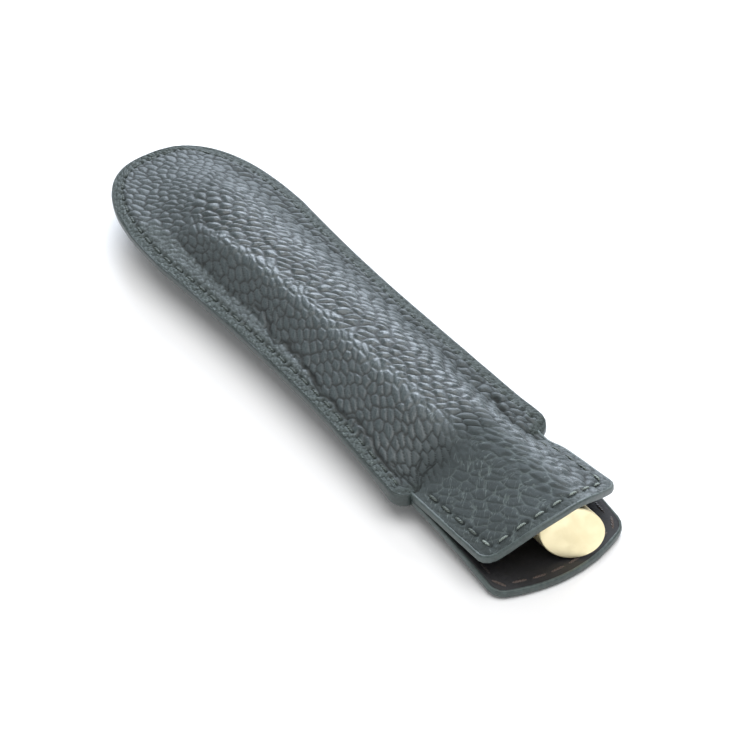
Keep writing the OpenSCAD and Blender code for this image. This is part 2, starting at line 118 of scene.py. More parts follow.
class PenSizes(bpy.types.PropertyGroup):
    """Sizes of the capped pen."""
    pen_diameter: length("Diameter", 12, "Diameter of the cap and of the barrel beside it")
    tail_room: length("Tail room", 23, "From the closed end to the pen's tail")
    pen_clearance: length("Clearance", 0.5, "Between the pen and the front lining")
    pen_rest_gap: length("Rest gap", 0.6, "Between the pen and the back lining")
    pen_offset: length("Offset", 2.4, "How far the pen lies off the sleeve's middle")
    crown_slant: degrees("Slant", 29, "Angle of the cap's slanted end")
    crown_roll: degrees("Roll", 23, "How far the pen is rolled on its axis")
    crown_short_side: length("Short side", 2.5, "Length of the crown's short side")
    cap_tube_length: length("Cap tube", 58, "Length of the cap's tube")
    cap_wall: length("Cap wall", 1, "Wall of the cap's tube")
    tail_diameter: length("Tail diameter", 9.2, "Diameter of the barrel at its tail")
    barrel_bore: length("Bore", 7.8, "Diameter of the barrel's bore")
    tail_plug_length: length("Tail plug", 2, "Length of the rounded tail plug")
    trim_ring_length: length("Trim ring", 2, "Length of the ring between barrel and cap")
    grip_length: length("Grip", 36, "Length of the grip in front of the ring")
    grip_front_diameter: length("Grip front", 6.8, "Diameter of the grip's front end")
    refill_diameter: length("Refill", 6, "Diameter of the refill's body")
    refill_nose_diameter: length("Refill nose", 2.4, "Diameter of the refill's nose")
    spring_room: length("Spring room", 2.8, "From the tail plug to the refill")
    spring_wire: length("Spring wire", 0.5, "Diameter of the spring's wire")
    spring_turns: IntProperty(name="Turns", description="Turns of the spring", default=4)
    fit_gap: length("Fit gap", 0.05, "Gap between pressed or sliding round parts")


class FinishColours(bpy.types.PropertyGroup):
    """Colours of the finishes, as linear values."""
    leather: colour("Leather", (0.039, 0.056, 0.060), "Raised grain of the outer leather")
    # Painted shade: the colour that the gaps, stitch holes, creases and matt places are darkened
    # towards
    leather_deep: colour("Leather gaps", (0.010, 0.014, 0.014), "Between the pebbles, in creases")
    # Painted highlight: the pale fine lines on the leather and the specks on the seam band, where
    # light catches
    painted_glint: colour("Glint lines", (0.2, 0.25, 0.24), "Fine lines and specks that catch light")
    band: colour("Seam band", (0.033, 0.052, 0.045), "Leather pressed in the seams")
    lining: colour("Lining", (0.014, 0.014, 0.016), "Smooth lining leather")
    paint: colour("Edge paint", (0.062, 0.083, 0.080), "Paint on the cut edges")
    thread_light: colour("Flap thread", (0.27, 0.32, 0.29), "Thread outside on the flaps")
    thread_dark: colour("Seam thread", (0.085, 0.11, 0.1), "Thread in the side seams")
    thread_brown: colour("Lining thread", (0.1, 0.075, 0.065), "Thread on the linings")
    brass: colour("Brass", (0.87, 0.74, 0.47), "Polished brass of the pen")
    # A lighter copy of the brass, brightened to paint the slanted facet's bright reflection
    crown: colour("Crown", (1.0, 0.89, 0.59), "Satin brass of the cap's slanted end")
    plastic: colour("Plastic", (0.02, 0.02, 0.022), "Grip and cap liner")
    steel: colour("Steel", (0.6, 0.6, 0.6), "Refill and spring")


def settings_of(group):
    """The settings of a group, without the properties that Blender adds."""
    return [prop for prop in group.bl_rna.properties
            if prop.identifier not in ("rna_type", "name")]


def in_millimetres(group):
    """The values of a group of settings, with lengths in millimetres."""
    values = {}
    for prop in settings_of(group):
        value = getattr(group, prop.identifier)
        values[prop.identifier] = value / MM if getattr(prop, "unit", "") == "LENGTH" else value
    return values


def stitch_shape():
    """The sizes of the stitching in millimetres."""
    return SimpleNamespace(**in_millimetres(bpy.context.scene.stitch_sizes))


FRONT_FADE, BACK_FADE = 10, 3   # how far past the pen's tail the pocket is fully open


def shape():
    """Every size in millimetres, with the places that follow from them."""
    scene = bpy.context.scene
    s = SimpleNamespace(**in_millimetres(scene.sleeve_sizes), **in_millimetres(scene.pen_sizes))
    s.half_length = s.sleeve_length / 2
    s.half_width = s.body_width / 2
    s.flap_half_width = s.half_width - s.seam_band
    s.wall = s.leather_thickness + s.lining_thickness
    s.nose_x = -s.half_length + s.nose_length
    s.back_corner_x = s.half_length - s.mouth_bow
    s.front_corner_x = s.back_corner_x - s.front_setback
    s.shoulder_x = s.back_corner_x - s.back_flap_length
    s.shoulder_start_x = s.shoulder_x - s.seam_band
    s.shoulder_seam_z = s.seam_height - s.shoulder_drop
    s.pen_radius = s.pen_diameter / 2
    s.pen_tip_x = s.half_length
    s.pen_tail_x = -s.half_length + s.tail_room
    s.pen_axis_z = s.wall + s.pen_rest_gap + s.pen_radius
    s.pocket_top_z = s.pen_axis_z + s.pen_radius + s.pen_clearance
    s.fade_start_x = -s.half_length + s.nose_flat
    s.front_fade_x = s.pen_tail_x + FRONT_FADE
    s.back_fade_x = s.pen_tail_x + BACK_FADE
    return s


# ---------------------------------------------------------------- the sleeve's lie

FLAP_EDGE_SHARE = 0.66      # how open the front arch is at the mouth
FRONT_CURL = 1.15           # how late the front flap's sides rise
BACK_CURL = 1.75            # how late the back flap's sides drop
NOSE_TIP_HALF_WIDTH = 1.2
PEN_ROOM = 0.3              # least room between the pen and the front lining
BARREL_TAPER = 66           # length over which the barrel widens from its tail
PEN_SIDE_FALL = 30          # how steeply the height that clears the pen drops beside it
LIE_BLEND = 0.04            # how softly the leather's own lie meets that height
RIGHT_SOFTNESS, LEFT_SOFTNESS = 0.45, 0.3       # how round the crest is on each side
DRAPE_START, DRAPE_END = (-54, 22), (32, 22)    # where the drape fades in and out: start, reach
RIGHT_DIP = SimpleNamespace(depth=1.3, x=51.5, width=4.0, y=6, reach=9)
LEFT_FULLNESS = SimpleNamespace(height=0.6, x=60, reach=12, y=-8, width=5.0)
TIP_NEARNESS = 0.8          # how near the closed end's tip counts beside the side edges
PRESS_DEPTH = 0.4           # share of the thickness that the seam presses away at its edge
PRESS_REACH = 1.2           # how far in the press reaches, in seam bands
PRESS_END, PRESS_FADE = 12, 10      # how far before the shoulder it starts to fade, and over what
SLOPE_STEP = 0.1


def clamp01(t):
    return np.clip(t, 0.0, 1.0)


def ease(t):
    t = clamp01(t)
    return t * t * (3 - 2 * t)


def ramp(value, start, reach):
    """Eases from 0 at a start to 1 a reach further on."""
    return ease((value - start) / reach)


def hump(value, middle, width):
    """1 at its middle, fading out over about a width to each side."""
    return np.exp(-((value - middle) / width) ** 2)


def body_half_width(s, x):
    x = np.asarray(x, float)
    power = s.nose_squareness
    nose = s.half_width * (1 - clamp01((s.nose_x - x) / s.nose_length) ** power) ** (1 / power)
    middle = 2 * (x - s.nose_x) / (s.shoulder_start_x - s.nose_x) - 1
    waist = s.half_width - s.waist_draw * (1 - middle ** 2)
    step = np.maximum(0, s.seam_band ** 2 - (x - s.shoulder_start_x) ** 2)
    shoulder = s.flap_half_width + np.sqrt(step)
    return np.where(x < s.nose_x, np.maximum(NOSE_TIP_HALF_WIDTH, nose),
                    np.where(x < s.shoulder_start_x, waist, shoulder))


def flap_outline(s, x, corner_x):
    step = np.maximum(0, s.flap_corner ** 2 - (x - corner_x + s.flap_corner) ** 2)
    return np.where(x <= corner_x - s.flap_corner, s.flap_half_width,
                    s.flap_half_width - s.flap_corner + np.sqrt(step))


def corner_of(s, front):
    return s.front_corner_x if front else s.back_corner_x


def row_half_width(s, x, front):
    x = np.asarray(x, float)
    return np.where(x > s.shoulder_x, flap_outline(s, x, corner_of(s, front)),
                    body_half_width(s, x))


def flap_share(s, x, corner_x):
    return clamp01((x - s.shoulder_x) / (corner_x - s.shoulder_x))


def seam_z(s, x):
    return (s.seam_height + s.end_lift * (np.minimum(0, x) / s.half_length) ** 2
            - s.shoulder_drop * clamp01(x / s.shoulder_x) ** 2)


def pocket_half_width(s, x):
    w = body_half_width(s, np.minimum(x, s.shoulder_start_x))
    return np.where(x > s.shoulder_x, s.flap_half_width, np.maximum(w - s.seam_band, w / 2))


def side_share(s, x, y):
    w = pocket_half_width(s, x)
    return clamp01(np.where(y > s.pen_offset, (y - s.pen_offset) / (w - s.pen_offset),
                            (s.pen_offset - y) / (w + s.pen_offset)))


def arch(share, openness):
    turn = math.pi * openness
    return (np.cos(share * turn) - np.cos(turn)) / (1 - np.cos(turn))


# How the front leather drapes over the pen, as (place along, place across) in millimetres
CREST = [(-81, -2), (-60, -6.4), (-47, -7.8), (-36, -6), (-28, -4.6), (-14, -3.6), (0, -3.1),
         (16, -2.6), (30, -2.4), (40, -2.2), (60, -2)]
RIGHT_CREST = [(-81, 1), (-47, 1), (-14, 1.6), (16, 2.4), (60, 2.4)]
LEFT_FOOT = [(-81, 0), (-70, -8.5), (-58, -12.2), (-40, -12.6), (-17, -12.6), (0, -13.4),
             (20, -15.2), (44, -16.7), (60, -16.7)]
RIGHT_FOOT = [(-81, 0), (-70, 8.5), (-58, 12.8), (-30, 14.2), (0, 13.4), (20, 12.9), (40, 12.2),
              (48, 11.4), (58, 16.7)]


def on_line(x, line):
    """Place across at a place along, on a line given by a few of its points."""
    along_x, across = zip(*line)
    return np.interp(x, along_x, across)


def tent(share, softness):
    """Flat-sided drape from 1 at the crest to 0 at the foot, round at the crest."""
    reach = math.sqrt(1 + softness ** 2) - softness
    return 1 - (np.sqrt(share ** 2 + softness ** 2) - softness) / reach


def drape_share(x, y):
    """How far a place lies from the crest towards the foot of its side, from 0 to 1."""
    crest, right_crest = on_line(x, CREST), on_line(x, RIGHT_CREST)
    left = (crest - y) / (crest - on_line(x, LEFT_FOOT) + 0.01)
    right = (y - right_crest) / (on_line(x, RIGHT_FOOT) - right_crest + 0.01)
    return clamp01(np.maximum(left, right))


def over_pen(s, x, y):
    """Least height at which the front lining clears the pen; it drops away beside the pen."""
    tail = s.tail_diameter / 2
    widened = tail + (x - s.pen_tail_x) * (s.pen_radius - tail) / BARREL_TAPER
    radius = PEN_ROOM + np.clip(widened, 0, s.pen_radius)
    radius = np.where(x > s.pen_tail_x - 1, radius, 0)
    off = np.abs(y - s.pen_offset)
    return (s.pen_axis_z + np.sqrt(np.maximum(0, radius ** 2 - off ** 2))
            - PEN_SIDE_FALL * np.maximum(0, off - radius))


def front_inner(s, x, y):
    """Height of the front lining's inner face."""
    u = flap_share(s, x, s.front_corner_x)
    corner_z = s.front_corner_height + s.right_corner_lift * ease(y / s.flap_half_width)
    side = np.where(x > s.shoulder_x,
                    s.shoulder_seam_z + (corner_z - s.shoulder_seam_z) * u ** FRONT_CURL,
                    seam_z(s, x))
    rise = (s.pocket_top_z - side) * ramp(x, s.fade_start_x, s.front_fade_x - s.fade_start_x)
    share = drape_share(x, y)
    draped = np.where(y > on_line(x, RIGHT_CREST), tent(share, RIGHT_SOFTNESS),
                      tent(share, LEFT_SOFTNESS))
    curved = arch(side_share(s, x, y), 1 - (1 - FLAP_EDGE_SHARE) * u)
    drape = ramp(x, *DRAPE_START) * (1 - ramp(x, *DRAPE_END))
    profile = curved + (draped - curved) * drape
    dip, full = RIGHT_DIP, LEFT_FULLNESS
    low_right = dip.depth * hump(x, dip.x, dip.width) * ramp(y, dip.y, dip.reach)
    full_left = full.height * ramp(x, full.x, full.reach) * hump(y, full.y, full.width)
    lie = side + rise * profile - low_right + full_left
    pen = over_pen(s, x, y)
    return 0.5 * (lie + pen + np.sqrt((lie - pen) ** 2 + LIE_BLEND))


def back_inner(s, x, y):
    """Height of the back lining's inner face."""
    u = flap_share(s, x, s.back_corner_x)
    side = np.where(x > s.shoulder_x, s.shoulder_seam_z
                    + (s.back_corner_height - s.shoulder_seam_z) * u ** BACK_CURL, seam_z(s, x))
    lip = s.lip_lift * ease((x - s.back_corner_x + s.lip_length) / s.lip_length)
    drop = (side - s.wall - lip) * ramp(x, s.fade_start_x, s.back_fade_x - s.fade_start_x)
    flat = s.belly_half_width / (pocket_half_width(s, x) + s.pen_offset)
    share = np.maximum(0, side_share(s, x, y) - flat) / (1 - flat)
    return side - drop * arch(share, 1.0)


def seam_press(s, x, y):
    """How much of the panels' thickness is left where the seam presses them thin."""
    edge = row_half_width(s, x, True) - np.abs(y)
    tip = (x + s.half_length) * TIP_NEARNESS
    near = 1 - ease(np.minimum(edge, tip) / (PRESS_REACH * s.seam_band))
    return 1 - PRESS_DEPTH * near * (1 - ease((x - s.shoulder_x + PRESS_END) / PRESS_FADE))


def face_z(s, x, y, depth, front):
    """Height of the face that lies a depth outside a lining's inner face."""
    x, y = np.asarray(x, float), np.asarray(y, float)
    inner = front_inner if front else back_inner
    slope = (inner(s, x, y + SLOPE_STEP) - inner(s, x, y - SLOPE_STEP)) / (2 * SLOPE_STEP)
    lift = depth * np.sqrt(1 + slope ** 2) * seam_press(s, x, y)
    return inner(s, x, y) + (lift if front else -lift)


def bowed_x(s, x, y, front):
    """Places along, once the mouth's edge has bowed out."""
    bow = s.mouth_bow * (1 - (y / s.flap_half_width) ** 2)
    return x + bow * flap_share(s, x, corner_of(s, front))


def face_points(s, x, y, depth, front):
    """Points of a face in millimetres, from places along and across."""
    x, y = np.asarray(x, float), np.asarray(y, float)
    return np.stack([bowed_x(s, x, y, front), y, face_z(s, x, y, depth, front)], axis=-1)


# ---------------------------------------------------------------- making meshes

def finished(name, bm, material, body, replaces, sharp=None):
    """Puts a bmesh, in millimetres, into the scene as a piece that rides on a body."""
    bmesh.ops.scale(bm, vec=(MM, MM, MM), verts=bm.verts)
    mesh = bpy.data.meshes.new(name)
    bm.to_mesh(mesh)
    bm.free()
    mesh.shade_smooth()
    if sharp is not None:
        mesh.set_sharp_from_angle(angle=math.radians(sharp))
    mesh.materials.append(material)
    piece = bpy.data.objects.new(name, mesh)
    bpy.context.scene.collection.objects.link(piece)
    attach(piece, body)
    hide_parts(*replaces)


def mark_layers(bm, values):
    """The vertex layers that hold a mark: numbers, or vectors where it has a third axis."""
    return bm.verts.layers.float if values.ndim == 2 else bm.verts.layers.float_vector


def add_grid(bm, points, marks=None):
    """Adds a grid whose vertices take the places of a rows x columns array of points."""
    rows, columns = points.shape[:2]
    made = bmesh.ops.create_grid(bm, x_segments=columns - 1, y_segments=rows - 1, size=1)
    verts = made["verts"]
    for vert, place in zip(verts, points.reshape(-1, 3).tolist()):
        vert.co = place
    for name, values in (marks or {}).items():
        layer = mark_layers(bm, values)[name]
        for vert, value in zip(verts, values.reshape(rows * columns, -1).squeeze().tolist()):
            vert[layer] = value
    return verts


def rim_edges(verts):
    return list({e for v in verts for e in v.link_edges if e.is_boundary})


def skin(outer, inner, marks=None):
    """A closed sheet between an outer grid of points and an inner one."""
    bm = bmesh.new()
    for name, values in (marks or {}).items():
        mark_layers(bm, values).new(name)
    outer_verts = add_grid(bm, outer, marks)
    inner_verts = add_grid(bm, inner)
    bmesh.ops.bridge_loops(bm, edges=rim_edges(outer_verts) + rim_edges(inner_verts))
    bmesh.ops.recalc_face_normals(bm, faces=bm.faces)
    return bm


def swept(rings):
    """A closed tube through rings of points, rows x points round each ring."""
    bm = bmesh.new()
    add_grid(bm, np.concatenate([rings, rings[:, :1]], axis=1))
    bmesh.ops.remove_doubles(bm, verts=bm.verts, dist=1e-5)
    bmesh.ops.holes_fill(bm, edges=[e for e in bm.edges if e.is_boundary], sides=0)
    bmesh.ops.recalc_face_normals(bm, faces=bm.faces)
    return bm


def grid_normals(points):
    """Unit normals at each point of a grid of points."""
    normal = np.cross(np.gradient(points, axis=0), np.gradient(points, axis=1))
    size = np.linalg.norm(normal, axis=-1, keepdims=True)
    return normal / np.maximum(size, 1e-12)


# ---------------------------------------------------------------- seeded grain

NOISE_TABLE, CELL_TABLE = 64, 128       # numbers along each side of the seeded tables


def value_noise(u, v, seed):
    """Smooth noise from -1 to 1 that changes over a distance of about 1."""
    table = np.random.default_rng(seed).uniform(-1, 1, (NOISE_TABLE, NOISE_TABLE))
    iu, iv = np.floor(u).astype(int), np.floor(v).astype(int)
    fu, fv = ease(u - iu), ease(v - iv)

    def at(a, b):
        return table[(iu + a) % NOISE_TABLE, (iv + b) % NOISE_TABLE]

    return ((at(0, 0) * (1 - fu) + at(1, 0) * fu) * (1 - fv)
            + (at(0, 1) * (1 - fu) + at(1, 1) * fu) * fv)


def cells(u, v, seed, jitter):
    """Distance to the nearest and to the next cell point, and a number of the nearest cell."""
    table = (CELL_TABLE, CELL_TABLE)
    stray = np.random.default_rng(seed).uniform(-jitter, jitter, (*table, 2))
    number = np.random.default_rng(seed + 1).uniform(0, 1, table)
    row_height = math.sqrt(3) / 2
    iv = np.floor(v / row_height).astype(int)
    nearest, second = np.full(u.shape, np.inf), np.full(u.shape, np.inf)
    owner = np.zeros(u.shape)
    for b in range(-2, 3):
        row = iv + b
        shift = 0.5 * (row % 2)
        iu = np.floor(u - shift).astype(int)
        for a in range(-2, 3):
            column = iu + a
            offset = stray[column % CELL_TABLE, row % CELL_TABLE]
            du = column + 0.5 + shift + offset[..., 0] - u
            dv = (row + 0.5) * row_height + offset[..., 1] - v
            distance = np.hypot(du, dv)
            closer = distance < nearest
            second = np.where(closer, nearest, np.minimum(second, distance))
            owner = np.where(closer, number[column % CELL_TABLE, row % CELL_TABLE], owner)
            nearest = np.where(closer, distance, nearest)
    return nearest, second, owner


def line_distance(px, py, line):
    """Distance in plan from points to an open line."""
    best = np.full(px.shape, np.inf)
    for (ax, ay), (bx, by) in zip(line[:-1], line[1:]):
        dx, dy = bx - ax, by - ay
        t = clamp01(((px - ax) * dx + (py - ay) * dy) / max(dx * dx + dy * dy, 1e-9))
        best = np.minimum(best, np.hypot(px - ax - t * dx, py - ay - t * dy))
    return best


# ---------------------------------------------------------------- materials

class Nodes:
    """A material and its node tree, with a Principled shader."""

    def __init__(self, name):
        self.material = bpy.data.materials.new(name)
        self.material.use_nodes = True
        self.tree = self.material.node_tree
        self.shader = self.tree.nodes["Principled BSDF"]

    def add(self, kind, inputs=None, **settings):
        node = self.tree.nodes.new(kind)
        for key, value in settings.items():
            setattr(node, key, value)
        for key, value in (inputs or {}).items():
            self.set(node.inputs[key], value)
        return node

    def set(self, socket, value):
        if isinstance(value, bpy.types.NodeSocket):
            self.tree.links.new(value, socket)
        else:
            socket.default_value = value

    def shade(self, **inputs):
        for key, value in inputs.items():
            self.set(self.shader.inputs[key.replace("_", " ")], value)

    def stretch(self, vector, scale):
        return self.add("ShaderNodeMapping", {"Vector": vector, "Scale": scale}).outputs[0]

    def place(self, scale=(1000, 1000, 1000)):
        """Object coordinates, in millimetres unless another scale is given."""
        return self.stretch(self.add("ShaderNodeTexCoord").outputs["Object"], scale)

    def mark(self, name):
        return self.add("ShaderNodeAttribute", attribute_name=name).outputs["Fac"]

    def math(self, operation, a, b, clamp=False):
        node = self.add("ShaderNodeMath", operation=operation, use_clamp=clamp)
        self.set(node.inputs[0], a)
        self.set(node.inputs[1], b)
        return node.outputs[0]

    def times(self, a, b):
        return self.math("MULTIPLY", a, b)

    def larger(self, a, b):
        return self.math("MAXIMUM", a, b)

    def mix(self, share, a, b):
        node = self.add("ShaderNodeMix", data_type="RGBA", blend_type="MIX")
        self.set(node.inputs[0], share)
        self.set(node.inputs[6], a)
        self.set(node.inputs[7], b)
        return node.outputs[2]

    def span(self, value, low, high, to_low=0.0, to_high=1.0):
        """Eases from one value to another while a value goes from low to high."""
        node = self.add("ShaderNodeMapRange", interpolation_type="SMOOTHSTEP")
        for key, item in zip(("Value", "From Min", "From Max", "To Min", "To Max"),
                             (value, low, high, to_low, to_high)):
            self.set(node.inputs[key], item)
        return node.outputs[0]

    def noise(self, vector, scale, detail, rough=0.55):
        return self.add("ShaderNodeTexNoise", {"Vector": vector, "Scale": scale, "Detail": detail,
                                               "Roughness": rough}).outputs["Fac"]

    def pits(self, vector, scale):
        return self.add("ShaderNodeTexVoronoi", {"Vector": vector, "Scale": scale},
                        feature="F1").outputs["Distance"]

    def bump(self, height, distance, strength, normal=None):
        """Relief of a height texture that is a distance in millimetres high."""
        inputs = {"Height": height, "Distance": distance * MM, "Strength": strength}
        if normal is not None:
            inputs["Normal"] = normal
        return self.add("ShaderNodeBump", inputs).outputs[0]


def rgba(values, factor=1.0):
    return (*(c * factor for c in values), 1.0)


def leather_material(name, colours, light_lines):
    """Pebbled leather with painted shade in its gaps and creases, and painted pale highlight
    lines.
    """
    n = Nodes(name)
    place = n.place()
    gap, hole, band, crease, pale, matt_and_shade = (
        n.mark(mark) for mark in ("gap", "hole", "band", "crease", "pale", "matt_and_shade"))
    flow = n.add("ShaderNodeAttribute", attribute_name="grain").outputs["Vector"]
    patches = n.span(n.noise(place, 0.11, 3.0), 0.35, 0.65)
    grain = n.noise(place, 2.6, 5.0, 0.6)
    pores = n.pits(place, 2.1)
    top = n.mix(n.span(grain, 0.35, 0.7), rgba(colours.leather, 0.78),
                rgba(colours.leather, 1.28))
    top = n.mix(n.times(patches, 0.25), top, rgba(colours.leather, 1.2))
    top = n.mix(n.times(band, 0.8), top, rgba(colours.band))
    # Painted highlight: light specks on the seam band, where light glints
    specks = n.times(n.span(n.noise(place, 1.9, 3.0), 0.6, 0.68), band)
    top = n.mix(n.times(specks, 0.7), top, rgba(colours.painted_glint))
    # Painted shade: gaps (less so in the pale places), stitch holes and creases darken towards the
    # shade colour
    painted_gap_shade = n.times(gap, n.span(pale, 0.0, 1.0, 1.0, 0.1))
    dark = n.math("MAXIMUM", painted_gap_shade, n.larger(hole, crease), clamp=True)
    # Painted shade: the matt places, where the light falls less, are darkened as well
    dark = n.larger(dark, n.times(matt_and_shade, 0.4))
    base = n.mix(dark, top, rgba(colours.leather_deep))
    # Painted highlight: pale streaks, and pale gaps, in the pale places where light catches
    streak = n.noise(n.stretch(flow, (0.2, 0.75, 1)), 1.0, 2.5, 0.45)
    streak = n.math("ABSOLUTE", n.math("SUBTRACT", streak, 0.5), 0.0)
    broken = n.span(n.noise(flow, 0.5, 2.0), 0.42, 0.58)
    fine = n.times(n.span(streak, 0.006, 0.024, 1.0, 0.0), broken)
    fine = n.larger(fine, n.math("POWER", gap, 5.0))
    fine = n.times(fine, n.times(pale, light_lines))
    base = n.mix(fine, base, rgba(colours.painted_glint))
    rough = n.span(grain, 0.3, 0.7, 0.27, 0.38)
    rough = n.math("ADD", rough, n.times(n.larger(matt_and_shade, band), 0.34))
    rough = n.math("ADD", rough, n.times(dark, 0.4), clamp=True)
    normal = n.bump(grain, 0.07, 0.7)
    normal = n.bump(pores, 0.05, 0.5, normal)
    normal = n.bump(n.span(streak, 0.0, 0.03), 0.05, 0.6, normal)
    n.shade(Base_Color=base, Roughness=rough, Normal=normal)
    n.shader.inputs["Specular IOR Level"].default_value = 0.8
    return n.material


def lining_material(name, colours):
    """Smooth lining leather with fine pores."""
    n = Nodes(name)
    place = n.place()
    grain = n.noise(place, 1.6, 5.0, 0.6)
    pores = n.pits(place, 3.2)
    base = n.mix(n.span(grain, 0.35, 0.7), rgba(colours.lining, 0.75), rgba(colours.lining, 1.5))
    n.shade(Base_Color=base, Roughness=n.span(grain, 0.3, 0.7, 0.5, 0.68),
            Normal=n.bump(pores, 0.03, 0.5, n.bump(grain, 0.06, 0.5)))
    n.shader.inputs["Specular IOR Level"].default_value = 0.45
    return n.material


def paint_material(name, tint):
    """Satin edge paint, a little uneven."""
    n = Nodes(name)
    place = n.place()
    waves = n.noise(place, 0.9, 3.0)
    specks = n.noise(place, 6.0, 2.0)
    base = n.mix(n.span(waves, 0.3, 0.7), rgba(tint, 0.75), rgba(tint, 1.2))
    n.shade(Base_Color=base, Roughness=n.span(waves, 0.3, 0.7, 0.34, 0.48),
            Normal=n.bump(specks, 0.02, 0.4, n.bump(waves, 0.12, 0.5)))
    return n.material


def thread_material(name, tint, sunk_shade):
    """Waxed two-ply thread, twisted along each stitch, darkened to a painted shade tint where it
    is sunk.
    """
    n = Nodes(name)
    uv = n.add("ShaderNodeUVMap", uv_map="thread").outputs[0]
    ply = n.add("ShaderNodeTexWave", {"Vector": uv, "Scale": 0.9, "Distortion": 0.6,
                                      "Detail": 1.0}, wave_type="BANDS",
                bands_direction="DIAGONAL").outputs["Fac"]
    fibres = n.noise(n.place(), 7.0, 3.0)
    base = n.mix(n.span(ply, 0.1, 0.7), rgba(tint, 0.6), rgba(tint, 1.12))
    base = n.mix(n.times(fibres, 0.3), base, rgba(tint, 0.7))
    base = n.mix(n.times(n.mark("sunk_shade"), 0.8), base, rgba(sunk_shade))
    n.shade(Base_Color=base, Roughness=n.span(fibres, 0.3, 0.7, 0.45, 0.6),
            Normal=n.bump(fibres, 0.04, 0.5, n.bump(ply, 0.12, 0.8)))
    return n.material


def metal_material(name, tint, rough, brushed):
    """Polished or drawn metal with faint smudges and turning marks."""
    n = Nodes(name)
    smudge = n.noise(n.place(), 0.25, 4.0)
    marks = n.noise(n.place(brushed), 1.0, 3.0)
    base = n.mix(n.span(smudge, 0.35, 0.65), rgba(tint), rgba(tint, 0.96))
    gloss = n.span(smudge, 0.3, 0.7, rough, rough * 1.6)
    gloss = n.math("ADD", gloss, n.times(marks, rough * 0.5))
    n.shade(Base_Color=base, Roughness=gloss, Normal=n.bump(marks, 0.004, 0.5))
    n.shader.inputs["Metallic"].default_value = 1.0
    return n.material


def plastic_material(name, tint, rough):
    """Moulded plastic with a fine, even grain."""
    n = Nodes(name)
    fine = n.noise(n.place(), 8.0, 3.0)
    large = n.noise(n.place(), 0.5, 3.0)
    base = n.mix(large, rgba(tint, 0.8), rgba(tint, 1.3))
    n.shade(Base_Color=base, Roughness=n.span(large, 0.3, 0.7, rough * 0.9, rough * 1.1),
            Normal=n.bump(fine, 0.02, 0.5))
    return n.material


# ---------------------------------------------------------------- outlines and stitch lines

def quarter(start, reach, count):
    """Places from start to start + reach that crowd together at the far end."""
    return start + reach * np.sin(np.linspace(0, math.pi / 2, count))


FRONT_STEP, FRONT_COLUMNS = 0.29, 146   # how far apart the front leather's rows lie, and columns
BACK_STEP, BACK_COLUMNS = 0.36, 112
TIP_REACH, TIP_ROWS = 3, 28             # length of the crowded rows at the closed end, and count
SHOULDER_GAP = 0.3                      # most that a flap's first row lies past the shoulder
FRONT_SEED, BACK_SEED = 11, 41


def stations(s, front, step):
    """Places along a panel, crowded at its tip, its shoulders and its flap's corners."""
    count = max(6, int(TIP_ROWS * FRONT_STEP / step))
    nose = -s.half_length + TIP_REACH * (1 - np.cos(np.linspace(0, math.pi / 2, count)))
    body = np.linspace(nose[-1], s.shoulder_start_x,
                       max(2, round((s.shoulder_start_x - nose[-1]) / step)))
    bend = max(5, round(s.seam_band / step * 1.5))
    shoulder = quarter(s.shoulder_start_x, s.seam_band, bend)
    corner_start = corner_of(s, front) - s.flap_corner
    start = s.shoulder_x + min(step, SHOULDER_GAP)
    straight = np.linspace(start, corner_start, max(2, round((corner_start - start) / step)))
    corner = quarter(corner_start, s.flap_corner, max(4, round(3 / step)))
    return np.concatenate([nose, body[1:], shoulder[1:], straight, corner[1:]])


def sheet_places(s, front, step, columns):
    """Grids of places along and across a whole panel."""
    x = stations(s, front, step)
    w = row_half_width(s, x, front)
    across = np.linspace(-1, 1, columns)
    return np.repeat(x[:, None], columns, axis=1), w[:, None] * across[None, :]


def body_edge(s, step):
    """Outline of the body from its left shoulder round the closed end to its right one."""
    x = stations(s, True, step)
    x = x[x <= s.shoulder_x + 1e-6]
    w = body_half_width(s, x)
    return np.concatenate([np.stack([x, -w], 1)[::-1], np.stack([x, w], 1)])


def flap_edge(s, front, step):
    """Outline of a flap from its left shoulder round the mouth to its right one."""
    x = stations(s, front, step)
    x = x[x > s.shoulder_x + 1e-6]
    w = row_half_width(s, x, front)
    across = np.linspace(-w[-1], w[-1], max(3, round(2 * w[-1] / step)))
    mouth = np.stack([np.full(len(across), x[-1]), across], 1)
    side = np.stack([x, -w], 1)
    return np.concatenate([side[:-1], mouth, (side * (1, -1))[:-1][::-1]])


def edge_normals(plan, side):
    run = np.gradient(plan, axis=0)
    normal = side * np.stack([run[:, 1], -run[:, 0]], 1)
    return normal / np.linalg.norm(normal, axis=1, keepdims=True)


def run_lengths(points):
    steps = np.linalg.norm(np.diff(points, axis=0), axis=1)
    return np.concatenate([[0.0], np.cumsum(steps)])


def along(points, lengths, at):
    return np.stack([np.interp(at, lengths, points[:, k]) for k in range(points.shape[1])], -1)


def stitch_places(line, stitches):
    """Start and end of each stitch, as running lengths along a line."""
    total = run_lengths(line)[-1]
    count = int((total - stitches.stitch_length) // stitches.pitch) + 1
    start = (total - (count - 1) * stitches.pitch - stitches.stitch_length) / 2
    first = start + np.arange(count) * stitches.pitch
    return first, first + stitches.stitch_length


SEAM_ROW_STEP, SEAM_ROW_SPARE = 1.5, 4      # step of the seam's stitch line, points left off
CORNER_TURN = 0.9                           # radius of a flap's stitch line at its corners
SIDE_POINTS, MOUTH_POINTS = 12, 25


def seam_stitch_plan(s, stitches):
    """Line of the seam's stitches in plan, round the closed end."""
    plan = body_edge(s, SEAM_ROW_STEP)
    line = plan - edge_normals(plan, -1) * stitches.inset
    return line[SEAM_ROW_SPARE:-SEAM_ROW_SPARE]


